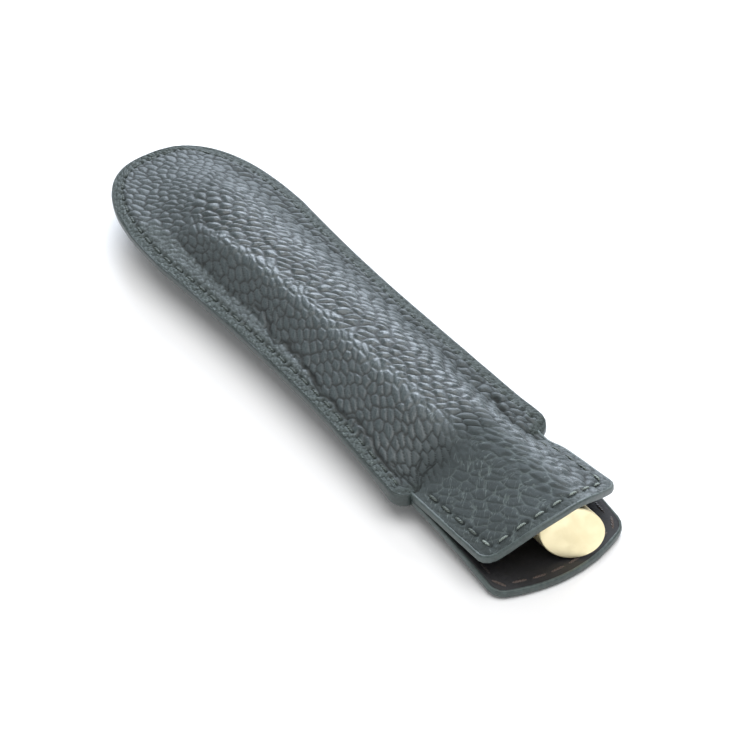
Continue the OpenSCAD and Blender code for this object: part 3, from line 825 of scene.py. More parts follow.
def flap_stitch_plan(s, stitches, front):
    """Line of a flap's stitches in plan, down its left side and round the mouth."""
    inset = stitches.inset if front else stitches.back_inset
    row_x, y = corner_of(s, front) - inset, s.flap_half_width - inset
    turn_x, turn_y = row_x - CORNER_TURN, y - CORNER_TURN
    side = np.linspace(s.shoulder_x + inset, turn_x, SIDE_POINTS)
    bend = np.radians(np.linspace(10, 80, 4))
    corner = np.stack([turn_x + CORNER_TURN * np.sin(bend),
                       -(turn_y + CORNER_TURN * np.cos(bend))], 1)
    mouth = np.linspace(-turn_y, turn_y, MOUTH_POINTS)
    left = np.concatenate([np.stack([side, np.full(SIDE_POINTS, -y)], 1), corner])
    middle = np.stack([np.full(MOUTH_POINTS, row_x), mouth], 1)
    return np.concatenate([left, middle, (left * (1, -1))[::-1]])


def outward_depth(s, outward):
    """Depth of a panel's outer face, or of its lining's inner face."""
    return s.wall if outward else 0.0


def stitch_line(s, plan, front, outward):
    """A line of stitches in plan, laid on a panel's leather or on its lining."""
    return face_points(s, plan[:, 0], plan[:, 1], outward_depth(s, outward), front)


# ---------------------------------------------------------------- the leather's surface

# Creases in plan, each a line of points in millimetres
SEAM_CRACK = [(-17, -12), (-13.7, -11.3), (-10, -12.7), (-5.2, -14), (-1.8, -12.7), (2.1, -12.9),
              (6.5, -13.8), (10, -14.2), (14.4, -15.9), (17.4, -15), (21, -15.9), (25, -15.3),
              (28, -14.6), (31.5, -15), (34.6, -16.3), (37.3, -16.5), (43.7, -16.9)]
SHOULDER_FAN = [[(49, -16.4), (47.3, -14.2), (45.4, -13.4), (44.3, -11.4)],
                [(48.6, -16), (46, -15.7), (43.2, -15.9), (39.8, -15.4)],
                [(48.8, -15.6), (48.1, -13.6), (46.9, -12.5), (47.2, -10.2)]]
RIGHT_FOLD = [(36.5, 14.8), (38.9, 14), (42.8, 12.6), (46.7, 13.3), (49.9, 15.7)]

CREASE_SEED = 71
CREASE_STRAY, CREASE_WAVE = 0.6, 1.7        # how far the creases stray, and over what distance
CRACK_SIZE, FAN_SIZE, FOLD_SIZE = (0.34, 0.4), (0.3, 0.28), (0.6, 0.6)      # width and depth


def creases(x, y):
    """Depth of the creases at each place, and how much painted shade darkens them."""
    px, py = (place + CREASE_STRAY * value_noise(x / CREASE_WAVE, y / CREASE_WAVE, seed)
              for place, seed in ((x, CREASE_SEED), (y, CREASE_SEED + 1)))
    lines = [(SEAM_CRACK, *CRACK_SIZE), (RIGHT_FOLD, *FOLD_SIZE)]
    lines += [(line, *FAN_SIZE) for line in SHOULDER_FAN]
    depth, dark = np.zeros(x.shape), np.zeros(x.shape)
    for line, width, deep in lines:
        near = hump(line_distance(px, py, line), 0, width)
        depth = np.maximum(depth, deep * near)
        dark = np.maximum(dark, near)
    return depth, dark


# The leather's grain: (pebble length along, pebble length across, lean, share of the relief,
# how far a pebble's rounding reaches in from its border)
END_GRAIN, LEFT_GRAIN = (2.45, 2.25, 0.72, 0.78, 0.8), (2.7, 2.35, -0.85, 0.78, 0.45)
RIGHT_GRAIN, FLAP_GRAIN = (2.95, 2.65, 0.62, 1.55, 0.8), (3.0, 2.9, 0.6, 0.6, 0.4)

PEBBLE_STRAY, FINE_STRAY = 0.29, 0.34       # how far cells stray from even rows, in cells
PEBBLE_GAP, FINE_GAP = 0.17, 0.16           # width of the gaps between cells, in cells
END_GRAIN_X, FLAP_GRAIN_X = -50, 48         # where the grain of the two ends takes over
FINE_DEPTH = 0.08                           # depth of the fine cells on each pebble
BORDER_STRAY, BORDER_WAVE = 1.3, 2.6        # how far the borders between grains stray, over what


def dome(border, reach, power):
    """Rise of a cell's rounding, from 0 at its border to 1 a reach further in."""
    return np.sin(0.5 * math.pi * clamp01(border / reach)) ** power


def pebble_field(x, across, grain, seed):
    """Height of one even field of pebbles, and its gaps."""
    along_size, across_size, lean, strength, reach = grain
    u, v = (x - lean * across) / along_size, across / across_size
    large, small = (u * 0.6, v * 0.6), (u * 3, v * 3)
    u, v = (u + 0.25 * value_noise(*large, seed + 5) + 0.06 * value_noise(*small, seed),
            v + 0.25 * value_noise(*large, seed + 6) + 0.06 * value_noise(*small, seed + 7))
    nearest, second, number = cells(v, u, seed, PEBBLE_STRAY)
    border = second - nearest
    height = dome(border, reach, 1.0) * (0.75 + 0.25 * number) * strength
    return height, hump(border, 0, PEBBLE_GAP)


def pebbled(x, across, band, seed):
    """Height of the pebbled grain from 0 to 1, its gaps, and places that follow its lean."""
    off = across - on_line(x, CREST)
    wander = BORDER_STRAY * value_noise(x / BORDER_WAVE, across / BORDER_WAVE, seed + 30)
    flap_along = ease((x - FLAP_GRAIN_X + 2 * wander) / 5)
    height, gap = pebble_field(x, off, RIGHT_GRAIN, seed)
    for grain, share, number in (
            (LEFT_GRAIN, ease((1.2 - off + wander) / 1.6), 1),
            (END_GRAIN, ease((END_GRAIN_X - 0.8 * off - x + 2 * wander) / 4), 2),
            (FLAP_GRAIN, flap_along * ease((4 - off + 2 * wander) / 5), 3)):
        other_height, other_gap = pebble_field(x, off, grain, seed + 100 * number)
        height = height + (other_height - height) * share
        gap = gap + (other_gap - gap) * share
    lean = 0.8 * np.sqrt(off ** 2 + 2.0)
    nearest, second, number = cells(off / 1.25 + 5, (x - lean) / 1.15, seed + 9, FINE_STRAY)
    border = second - nearest
    height = height - FINE_DEPTH * (1 - dome(border, 0.8, 0.8)) * (1 - gap)
    wrinkled = 0.15 + 0.8 * dome(border, 0.7, 0.9) * (0.4 + 0.6 * number)
    height = height * (1 - band) + wrinkled * band
    gap = gap * (1 - band) + 0.9 * band * hump(border, 0, FINE_GAP)
    return height, gap, np.stack([off, x - lean, np.zeros_like(x)], axis=-1)


GROOVE_WIDTH, GROOVE_DEPTH = 0.5, 0.2
HOLE_WIDTH, HOLE_DEPTH = 0.42, 0.5
FRONT_MEAN, BACK_MEAN = 0.65, 1.0       # share of the relief that lies below the even face
ROLL_HEIGHT, ROLL_LENGTH = 0.14, 7.0    # slow unevenness of the front leather
EDGE_FADE = 0.5                         # how near the edge the relief starts to fade
EDGE_RELIEF, GROOVE_RELIEF = 0.45, 0.6  # share of the relief left at the edge and in a groove


def lengths_across(base):
    """Running length across each row of a sheet, from its middle column."""
    steps = np.linalg.norm(np.diff(base, axis=1), axis=2)
    across = np.concatenate([np.zeros((len(base), 1)), np.cumsum(steps, axis=1)], axis=1)
    return across - across[:, base.shape[1] // 2][:, None]


def edge_distance(s, x, y, front):
    """Distance in plan from the nearest cut edge."""
    flap = np.minimum(row_half_width(s, x, front) - np.abs(y), corner_of(s, front) - x)
    return np.where(x > s.shoulder_x, flap, line_distance(x, y, body_edge(s, 0.6)))


# Where the painted pale highlight lines, the matt places with painted shade and the wider seam
# band lie, as (start, reach) in millimetres along or across the sleeve
PALE_ALONG, PALE_ACROSS = (46, 8), (3, 9)
MATT_ALONG, MATT_ACROSS = (36, 14), (1, 7)
END_MATT_ALONG, SIDE_MATT_ACROSS = (-62, 24), (6, 6)
LOW_BAND_ALONG = (-62, 15)
CREST_PALE_ALONG = (-48, 20)
CREST_PALE_OFF = (-1.6, 1.8)            # middle and width, off the crest
# How strong the seam band, the painted pale highlight lines and the matt places with painted shade
# are in each of those places
FLAP_BAND, SEAM_BAND, LOW_BAND = 0.35, 0.9, 0.6
FLAP_PALE, CREST_PALE = 0.7, 0.6
END_MATT, SIDE_MATT, RIGHT_SHINE = 0.42, 0.5, 0.85


def band_glint_and_shade_marks(s, x, y, edge, front):
    """How pressed the leather is, how strong its painted pale highlight lines are, and how matt it
    is, which also adds painted shade, each from 0 to 1.
    """
    on_flap = x > s.shoulder_x
    band = 1 - ramp(edge, 0.4 * s.seam_band, 0.6 * s.seam_band)
    band = np.where(on_flap, FLAP_BAND * band, SEAM_BAND * band)
    # Where pale highlight lines are painted
    pale = FLAP_PALE * ramp(x, *PALE_ALONG) * (1 - ramp(y, *PALE_ACROSS))
    # Matt places; the material also darkens them as painted shade
    flap_matt = ramp(x, *MATT_ALONG) * (1 - RIGHT_SHINE * ramp(y, *MATT_ACROSS))
    end_matt = END_MATT * (1 - ramp(x, *END_MATT_ALONG))
    matt_and_shade = np.maximum(np.maximum(flap_matt, end_matt), SIDE_MATT * ramp(y, *SIDE_MATT_ACROSS))
    if front:
        below = np.where(y < 0, on_line(x, LEFT_FOOT) - y, 0) * ramp(x, *LOW_BAND_ALONG)
        band = np.maximum(band, np.where(on_flap, 0, LOW_BAND * ease(below / 0.9)))
        off = y - on_line(x, CREST)
        crest_pale = CREST_PALE * hump(off, *CREST_PALE_OFF) * ramp(x, *CREST_PALE_ALONG)
        pale = np.maximum(pale, crest_pale)
    return band, pale, matt_and_shade


def stitch_marks(s, stitches, base, front):
    """How near each place is to a stitch's groove and to its holes, each from 0 to 1."""
    px, py = base[..., 0], base[..., 1]
    groove, hole = np.zeros(px.shape), np.zeros(px.shape)
    for plan in (seam_stitch_plan(s, stitches), flap_stitch_plan(s, stitches, front)):
        line = stitch_line(s, plan, front, True)
        lengths = run_lengths(line)
        for places in zip(*stitch_places(line, stitches)):
            ends = [along(line, lengths, place)[:2] for place in places]
            groove = np.maximum(groove, hump(line_distance(px, py, ends), 0, GROOVE_WIDTH))
            for end_x, end_y in ends:
                distance = np.hypot(px - end_x, py - end_y)
                hole = np.maximum(hole, hump(distance, 0, HOLE_WIDTH))
    return groove, hole


def leather_face(s, stitches, front, step, columns, seed):
    """Points of a panel's outer face with its grain, grooves and creases, and its marks."""
    x, y = sheet_places(s, front, step, columns)
    base = face_points(s, x, y, s.wall, front)
    normal = grid_normals(base)
    if (normal[len(normal) // 2, columns // 2, 2] < 0) == front:
        normal = -normal
    across = lengths_across(base)
    edge = edge_distance(s, x, y, front)
    band, pale, matt_and_shade = band_glint_and_shade_marks(s, x, y, edge, front)
    height, gap, grain = pebbled(x, across, band, seed)
    groove, hole = stitch_marks(s, stitches, base, front)
    fade = ease(edge / EDGE_FADE)
    relief = s.pebble_relief * (height - (FRONT_MEAN if front else BACK_MEAN))
    sink, crease = GROOVE_DEPTH * groove + HOLE_DEPTH * hole, np.zeros(x.shape)
    if front:
        relief = relief + ROLL_HEIGHT * value_noise(x / ROLL_LENGTH, across / ROLL_LENGTH,
                                                    seed + 20)
        depth, crease = creases(x, y)
        sink = np.maximum(sink, depth)
    relief = relief * (EDGE_RELIEF + (1 - EDGE_RELIEF) * fade)
    relief = relief * (1 - (1 - GROOVE_RELIEF) * groove) - sink * fade
    if not front:
        relief = np.minimum(relief, 0)
    # gap, hole and crease carry painted shade; pale carries painted highlight lines; matt carries
    # roughness and painted shade
    marks = {"gap": gap, "hole": 0.9 * hole, "band": band, "crease": crease, "pale": pale,
             "matt_and_shade": matt_and_shade, "grain": grain}
    return base + normal * relief[..., None], marks


def inner_face(s, front, depth, step=1.6, columns=30):
    x, y = sheet_places(s, front, step, columns)
    return face_points(s, x, y, depth, front)


def side_of(front):
    return "front" if front else "back"


# ---------------------------------------------------------------- pieces of the sleeve

def build_leather(s, stitches, colours, front):
    step, columns, seed, light_lines = (
        (FRONT_STEP, FRONT_COLUMNS, FRONT_SEED, 0.5) if front
        else (BACK_STEP, BACK_COLUMNS, BACK_SEED, 0.25))
    outer, marks = leather_face(s, stitches, front, step, columns, seed)
    inner = inner_face(s, front, s.lining_thickness)
    side = side_of(front)
    material = leather_material(side + "_pebbled_leather", colours, light_lines)
    finished(side + "_leather", skin(outer, inner, marks), material, "sleeve",
             [side + "_panel"])


LINING_STEP, LINING_COLUMNS = 1.2, 44


def build_lining(s, colours, front):
    inner, outer = (inner_face(s, front, depth, LINING_STEP, LINING_COLUMNS)
                    for depth in (0.0, s.lining_thickness))
    side = side_of(front)
    finished(side + "_lining_leather", skin(inner, outer),
             lining_material(side + "_lining", colours), "sleeve",
             [side + "_lining"])


BEAD_STEP, BEAD_POINTS = 0.9, 20            # how far apart a bead's rings lie, and their points
BEAD_ROUNDNESS = 0.62                       # 1 is an ellipse, less is squarer
BEAD_WAVE, BEAD_WAVE_LENGTH = 0.1, 2.3      # how uneven a bead is, and over what distance
BEAD_SEED = 91
SEAM_LAP, FLAP_LAP = 0.12, 0.4              # how far the paint laps in over the faces
SEAM_PAINT_SHARE, SEAM_PAINT_IN = 0.85, 0.15
FLAP_BEAD_BACK = 0.7                        # how far a flap's bead runs back into the shoulder
# Painted shade: how much darker the seam's bead takes the edge paint, for its shaded side
SEAM_PAINT_SHADE = 0.7


def bead(plan, side, top, bottom, thickness, overlap):
    """A rounded bead of paint round a cut edge, lapping a little over both faces."""
    turn = np.linspace(0, 2 * math.pi, BEAD_POINTS, endpoint=False)
    out_share, up_share = (np.sign(part) * np.abs(part) ** BEAD_ROUNDNESS
                           for part in (np.cos(turn), np.sin(turn)))
    middle, half = (top + bottom) / 2, (top - bottom) / 2 + 0.05
    reach = np.where(out_share > 0, thickness, overlap)
    run = run_lengths(np.column_stack([plan, middle]))
    noise = value_noise(run / BEAD_WAVE_LENGTH, np.zeros_like(run), BEAD_SEED)
    offset = out_share * reach * (1 + BEAD_WAVE * noise[:, None])
    xy = plan[:, None, :] + edge_normals(plan, side)[:, None, :] * offset[..., None]
    z = middle[:, None] + up_share * half[:, None]
    return np.concatenate([xy, z[..., None]], axis=-1)


def build_edge_paint(s, colours):
    material = paint_material("edge_paint_flaps", colours.paint)
    plan = body_edge(s, BEAD_STEP)
    top, bottom = (face_z(s, plan[:, 0], plan[:, 1], s.wall, front) for front in (True, False))
    rings = bead(plan, -1, top - SEAM_PAINT_IN, bottom + SEAM_PAINT_IN,
                 s.paint_thickness * SEAM_PAINT_SHARE, SEAM_LAP)
    # Painted shade: a darker copy of the edge paint for the body's seam bead
    shaded_paint = paint_material("edge_paint_body", [c * SEAM_PAINT_SHADE for c in colours.paint])
    finished("seam_edge_bead", swept(rings), shaded_paint, "sleeve", ["seam_edge_paint"])
    for front in (True, False):
        edge = flap_edge(s, front, BEAD_STEP)
        back = (FLAP_BEAD_BACK, 0)
        edge = np.concatenate([edge[:1] - back, edge, edge[-1:] - back])
        x, y = edge[:, 0], edge[:, 1]
        outer, inner = (face_z(s, x, y, depth, front) for depth in (s.wall, 0))
        plan = np.stack([bowed_x(s, x, y, front), y], 1)
        rings = bead(plan, 1, np.maximum(outer, inner), np.minimum(outer, inner),
                     s.paint_thickness, FLAP_LAP)
        side = side_of(front)
        finished(side + "_flap_bead", swept(rings), material, "sleeve",
                 [side + "_flap_edge_paint"])


NORMAL_STEP = 0.15


def face_normal(s, x, y, front, outward):
    """Unit normals, away from the pocket on the leather and into it on the lining."""
    depth, h = outward_depth(s, outward), NORMAL_STEP
    dx = (face_z(s, x + h, y, depth, front) - face_z(s, x - h, y, depth, front)) / (2 * h)
    dy = (face_z(s, x, y + h, depth, front) - face_z(s, x, y - h, depth, front)) / (2 * h)
    normal = np.stack([-dx, -dy, np.ones_like(dx)], -1)
    normal /= np.linalg.norm(normal, axis=-1, keepdims=True)
    return normal if front == outward else -normal


END_REACH = 6               # stitches this near their line's furthest place keep their own tint
END_SIZE = 0.85             # and are this much smaller on the leather
LINING_STRETCH = 1.45       # how much longer the stitches show on the lining
FLAT_HEIGHT = 0.3           # height of the thread everywhere but on the front leather
THREAD_FULLNESS, THREAD_SAG, THREAD_LIFT = 3.5, 0.55, 0.3


def stitch_row(s, stitches, plan, front, outward, sink):
    """Rounded, sagging threads along a line in plan, one for each stitch."""
    bm = bmesh.new()
    uv = bm.loops.layers.uv.new("thread")
    sunk_shade = bm.verts.layers.float.new("sunk_shade")
    line = stitch_line(s, plan, front, outward)
    lengths = run_lengths(line)
    normals = face_normal(s, plan[:, 0], plan[:, 1], front, outward)
    height = stitches.height if front and outward else FLAT_HEIGHT
    for first, last in zip(*stitch_places(line, stitches)):
        a, middle, b = (along(line, lengths, at) for at in (first, (first + last) / 2, last))
        up = Vector(along(normals, lengths, (first + last) / 2))
        run = Vector(b - a).normalized()
        side = up.cross(run).normalized()
        rise = run.cross(side)
        at_end = middle[0] > line[:, 0].max() - END_REACH
        size = END_SIZE if at_end and outward else 1
        half = stitches.stitch_length / 2 * (size if outward else LINING_STRETCH)
        width = stitches.width * size
        for vert in bmesh.ops.create_uvsphere(bm, u_segments=8, v_segments=9, radius=1)["verts"]:
            t, c, h = vert.co.z, vert.co.x, vert.co.y
            angle = math.atan2(h, c) / (2 * math.pi)
            ring = math.sqrt(max(1e-9, 1 - t * t))
            fill = (1 - abs(t) ** THREAD_FULLNESS) ** 0.5
            c, h = c / ring * fill, h / ring * fill
            sag = -THREAD_SAG * height * abs(t) ** 2.5 - sink
            vert.co = (Vector(middle) + run * (t * half) + side * (c * width / 2)
                       + rise * (h * height / 2 + sag + height * THREAD_LIFT))
            # Every stitch but those at the line's far end takes the painted shade tint
            vert[sunk_shade] = 0.0 if at_end else 1.0
            for loop in vert.link_loops:
                loop[uv].uv = (t * half, angle * 2)
    return bm


FRONT_SEAM_SINK, BACK_SEAM_SINK, FLAP_SINK = 0.38, 0.1, 0.08      # how deep the threads lie


def build_stitches(s, stitches, colours):
    # The sunk tints are painted shade: darker thread colours for stitches sunk in their grooves
    dark_tint = colours.thread_dark
    light = thread_material("light_waxed_thread", colours.thread_light,
                            [c * 0.5 for c in dark_tint])
    dark = thread_material("seam_waxed_thread", dark_tint, [c * 0.6 for c in dark_tint])
    brown = thread_material("lining_waxed_thread", colours.thread_brown, colours.lining)
    seam = seam_stitch_plan(s, stitches)
    for name, node, front, sink in (
            ("seam_stitches_top", "seam_thread_top", True, FRONT_SEAM_SINK),
            ("seam_stitches_under", "seam_thread_under", False, BACK_SEAM_SINK)):
        finished(name, stitch_row(s, stitches, seam, front, True, sink), dark, "sleeve",
                 [node])
    for name, node, front, outward in (
            ("front_flap_stitches", "front_flap_thread", True, True),
            ("front_lining_stitches", "front_flap_thread_inside", True, False),
            ("back_flap_stitches", "back_flap_thread_under", False, True),
            ("back_lining_stitches", "back_flap_thread_inside", False, False)):
        plan = flap_stitch_plan(s, stitches, front)
        material, slot = (light, "flap_thread") if outward else (brown, "lining_thread")
        finished(name, stitch_row(s, stitches, plan, front, outward, FLAP_SINK), material,
                 "sleeve", [node])


# ---------------------------------------------------------------- the pen

def turned(s, profile, segments=96, closed=True):
    """A turned part on the pen's axis, spun from (along, radius) points."""
    bm = bmesh.new()
    verts = [bm.verts.new((x, s.pen_offset, s.pen_axis_z + r)) for x, r in profile]
    loop = verts + verts[:1] if closed else verts
    edges = [bm.edges.new(pair) for pair in zip(loop[:-1], loop[1:])]
    bmesh.ops.spin(bm, geom=verts + edges, cent=(0, s.pen_offset, s.pen_axis_z), axis=(1, 0, 0),
                   angle=2 * math.pi, steps=segments, use_merge=True)
    bmesh.ops.remove_doubles(bm, verts=bm.verts, dist=1e-4)
    bmesh.ops.recalc_face_normals(bm, faces=bm.faces)
    return bm


def rounded(profile, radius, steps=4):
    """A profile with each corner off the axis rounded."""
    out = []
    for i, point in enumerate(profile):
        p = np.array(point, float)
        a = np.array(profile[i - 1], float) - p
        b = np.array(profile[(i + 1) % len(profile)], float) - p
        la, lb = np.linalg.norm(a), np.linalg.norm(b)
        r = min(radius, 0.45 * la, 0.45 * lb)
        if p[1] < 1e-6 or r < 1e-3:
            out.append(tuple(p))
            continue
        a, b = a / la * r, b / lb * r
        for k in range(steps + 1):
            t = k / steps
            out.append(tuple(p + a * (1 - t) ** 2 + b * t ** 2))
    return out


CAP_GAP = 0.05              # between the cap's mouth and the trim ring
TIP_LENGTH = 3              # how far the refill stands out of the grip
REFILL_NOSE_LENGTH = 12
TURNING_MARKS, DRAWING_MARKS = (1000, 250, 250), (200, 1600, 1600)
LINER_INSET, LINER_LENGTH, LINER_WALL = 1.5, 40, 0.45
SPIGOT_LENGTH = 6           # how far the crown reaches into the cap's tube
CROWN_STOCK = 6             # stock past the pen's tip, which the slanted cut takes off
CROWN_ROUNDING, FACET_INSET = 0.24, 0.05
TAIL_ROUNDING, SOCKET_LENGTH, SOCKET_WALL = 1.2, 3, 0.7
RING_GROOVE = 0.15
GRIP_SOCKET = 10            # how far the grip reaches back into the barrel
THREAD_START, THREAD_PITCH, THREAD_TURNS, THREAD_DEPTH = 1, 1.1, 5, 0.16
SPRING_GAP = 0.1            # at each end of the spring
SPRING_STEPS = 24           # rings in each turn of the spring


def pen_places(s):
    """Places along the pen and radii of its parts, in millimetres."""
    p = SimpleNamespace()
    p.crown_base = s.pen_tip_x - s.pen_diameter * math.tan(s.crown_slant) - s.crown_short_side
    p.cap_mouth = p.crown_base - s.cap_tube_length
    p.cap_bore = s.pen_radius - s.cap_wall
    p.ring = p.cap_mouth - CAP_GAP - s.trim_ring_length
    p.bore = s.barrel_bore / 2
    p.socket = p.bore - s.fit_gap
    p.tail = s.tail_diameter / 2
    p.tail_base = s.pen_tail_x + s.tail_plug_length
    p.grip_start = p.ring + s.trim_ring_length
    p.grip_end = p.grip_start + s.grip_length
    p.refill = s.refill_diameter / 2
    p.nose = s.refill_nose_diameter / 2
    p.refill_front = p.grip_end + TIP_LENGTH
    p.refill_back = p.tail_base + s.spring_room
    p.refill_shoulder = p.refill_front - REFILL_NOSE_LENGTH
    return p


def build_crown(s, p, colours):
    """The cap's solid end, cut at a slant, with a rounded rim round a flat facet."""
    spigot, end = p.cap_bore - s.fit_gap, s.pen_tip_x + CROWN_STOCK
    start = p.crown_base - SPIGOT_LENGTH
    profile = [(start, 0), (start, spigot), (p.crown_base, spigot),
               (p.crown_base, s.pen_radius), (end, s.pen_radius), (end, 0)]
    bm = turned(s, profile, 128, closed=False)
    roll = Matrix.Rotation(-s.crown_roll, 3, "X")
    normal = roll @ Matrix.Rotation(-s.crown_slant, 3, "Z") @ Vector((1, 0, 0))
    rim = roll @ Vector((0, s.pen_radius, 0))
    point = Vector((s.pen_tip_x, s.pen_offset, s.pen_axis_z)) + rim
    made = bmesh.ops.bisect_plane(bm, geom=[*bm.verts, *bm.edges, *bm.faces], plane_co=point,
                                  plane_no=normal, clear_outer=True, dist=1e-5)
    edges = [e for e in made["geom_cut"] if isinstance(e, bmesh.types.BMEdge)]
    face = bmesh.ops.contextual_create(bm, geom=edges)["faces"][0]
    bmesh.ops.bevel(bm, geom=[*face.edges, *face.verts], offset=CROWN_ROUNDING, segments=3,
                    profile=0.5, affect="EDGES", material=-1)
    bmesh.ops.recalc_face_normals(bm, faces=bm.faces)
    facet = max(bm.faces, key=lambda f: f.normal.dot(normal) * f.calc_area())
    bmesh.ops.inset_region(bm, faces=[facet], thickness=FACET_INSET)
    # The crown's lighter brass paints the facet's bright reflection
    satin = metal_material("satin_brass_crown", colours.crown, 0.3, TURNING_MARKS)
    finished("slanted_crown", bm, satin, "pen_cap", ["cap_crown"], sharp=30)


def build_cap(s, colours):
    p = pen_places(s)
    brass = metal_material("polished_brass_cap", colours.brass, 0.16, TURNING_MARKS)
    profile = [(p.cap_mouth, p.cap_bore), (p.cap_mouth, s.pen_radius),
               (p.crown_base, s.pen_radius), (p.crown_base, p.cap_bore)]
    finished("cap_body", turned(s, rounded(profile, 0.18)), brass, "pen_cap",
             ["cap_tube"], sharp=40)
    start, outer = p.cap_mouth + LINER_INSET, p.cap_bore - s.fit_gap
    end, inner = start + LINER_LENGTH, outer - LINER_WALL
    profile = [(start, inner), (start, outer), (end, outer), (end, inner)]
    finished("cap_inner_sleeve", turned(s, rounded(profile, 0.1), 64),
             plastic_material("moulded_liner", colours.plastic, 0.45), "pen_cap",
             ["cap_liner"], sharp=40)
    build_crown(s, p, colours)


def build_barrel(s, colours):
    p = pen_places(s)
    brass = metal_material("polished_brass_barrel", colours.brass, 0.06, TURNING_MARKS)
    profile = [(p.tail_base, p.bore), (p.tail_base, p.tail), (p.ring, s.pen_radius),
               (p.ring, p.bore)]
    finished("barrel_body", turned(s, rounded(profile, 0.12)), brass, "pen",
             ["pen_barrel"], sharp=40)
    profile = [(s.pen_tail_x, 0)]
    profile += [(s.pen_tail_x + TAIL_ROUNDING * (1 - math.sin(a)),
                 p.tail - TAIL_ROUNDING * (1 - math.cos(a)))
                for a in np.radians(np.linspace(90, 0, 10))]
    socket_end, inner = p.tail_base + SOCKET_LENGTH, p.socket - SOCKET_WALL
    profile += [(p.tail_base, p.tail), (p.tail_base, p.socket), (socket_end, p.socket),
                (socket_end, inner), (p.tail_base, inner), (p.tail_base, 0)]
    finished("tail_cap", turned(s, profile, closed=False), brass, "pen",
             ["barrel_tail"], sharp=40)
    width, groove = s.trim_ring_length, s.pen_radius - RING_GROOVE
    profile = [(p.ring, p.bore), (p.ring, s.pen_radius), (p.ring + 0.4 * width, s.pen_radius),
               (p.ring + 0.45 * width, groove), (p.ring + 0.55 * width, groove),
               (p.ring + 0.6 * width, s.pen_radius), (p.grip_start, s.pen_radius),
               (p.grip_start, p.bore)]
    finished("trim_ring", turned(s, rounded(profile, 0.08)), brass, "pen",
             ["barrel_ring"], sharp=40)


def build_grip(s, p, plastic):
    """The grip section, with ring grooves that stand in for its thread."""
    collar = p.cap_bore - LINER_WALL - 2 * s.fit_gap
    bore, nose_bore = p.refill + s.fit_gap, p.nose + s.fit_gap
    front = s.grip_front_diameter / 2
    profile = [(p.ring - GRIP_SOCKET, bore), (p.ring - GRIP_SOCKET, p.socket),
               (p.grip_start, p.socket), (p.grip_start, collar)]
    for turn in range(THREAD_TURNS):
        x, low = p.grip_start + THREAD_START + turn * THREAD_PITCH, collar - THREAD_DEPTH
        profile += [(x, collar), (x + 0.3, low), (x + 0.6, low), (x + 0.9, collar)]
    seat = p.refill_shoulder + s.fit_gap
    profile += [(p.grip_start + 8, collar), (p.grip_end - 2.5, front + 0.12),
                (p.grip_end - 0.5, front), (p.grip_end, front - 0.5), (p.grip_end, nose_bore),
                (seat, nose_bore), (seat, bore)]
    finished("grip_body", turned(s, rounded(profile, 0.08, 2), 72), plastic, "pen",
             ["grip_section"], sharp=40)


def build_refill(s, p, steel):
    """The refill's body and the metal tip that it writes with."""
    shoulder, waist = p.refill_shoulder, p.refill - 0.12
    profile = [(p.refill_back, 0), (p.refill_back, p.refill), (shoulder - 3, p.refill),
               (shoulder - 2.6, waist), (shoulder, waist), (shoulder, 0)]
    finished("refill_body", turned(s, profile, 64, closed=False), steel, "pen",
             ["refill_tube"], sharp=40)
    front = p.refill_front
    profile = [(shoulder, 0), (shoulder, p.nose), (front - 2.4, p.nose), (front - 0.35, 0.42),
               (front - 0.2, 0.3), (front, 0)]
    finished("writing_tip", turned(s, profile, 48, closed=False), steel, "pen",
             ["refill_tip"], sharp=40)


def build_spring(s, p, steel):
    """The wire spring between the tail plug and the refill."""
    start = p.tail_base + SPRING_GAP + s.spring_wire / 2
    end = p.refill_back - SPRING_GAP - s.spring_wire / 2
    radius = p.bore - s.fit_gap - SOCKET_WALL - s.spring_wire
    bm = bmesh.new()
    circle = bmesh.ops.create_circle(bm, cap_ends=False, segments=10, radius=s.spring_wire / 2)
    turn = Matrix.Translation((start, s.pen_offset, s.pen_axis_z + radius))
    bmesh.ops.transform(bm, matrix=turn @ Matrix.Rotation(math.pi / 2, 4, "X"),
                        verts=circle["verts"])
    steps = SPRING_STEPS * s.spring_turns
    bmesh.ops.spin(bm, geom=list(bm.verts) + list(bm.edges),
                   cent=(0, s.pen_offset, s.pen_axis_z), axis=(1, 0, 0),
                   angle=2 * math.pi * s.spring_turns, steps=steps,
                   dvec=((end - start) / steps, 0, 0))
    bmesh.ops.holes_fill(bm, edges=[e for e in bm.edges if e.is_boundary], sides=0)
    bmesh.ops.recalc_face_normals(bm, faces=bm.faces)
    finished("tail_spring", bm, steel, "pen", ["refill_spring"])


def build_writing_unit(s, colours):
    p = pen_places(s)
    plastic = plastic_material("matte_grip", colours.plastic, 0.5)
    steel = metal_material("drawn_steel", colours.steel, 0.2, DRAWING_MARKS)
    build_grip(s, p, plastic)
    build_refill(s, p, steel)
    build_spring(s, p, steel)


# ---------------------------------------------------------------- the stage

CAMERA = SimpleNamespace(azimuth=54.4152, elevation=40.9377, roll=-0.32, distance=527.988,
                         look_at=(10.612, 1.500, 4.0), focal_px=2400.0, frame_px=750.0,
                         sensor_width=36)


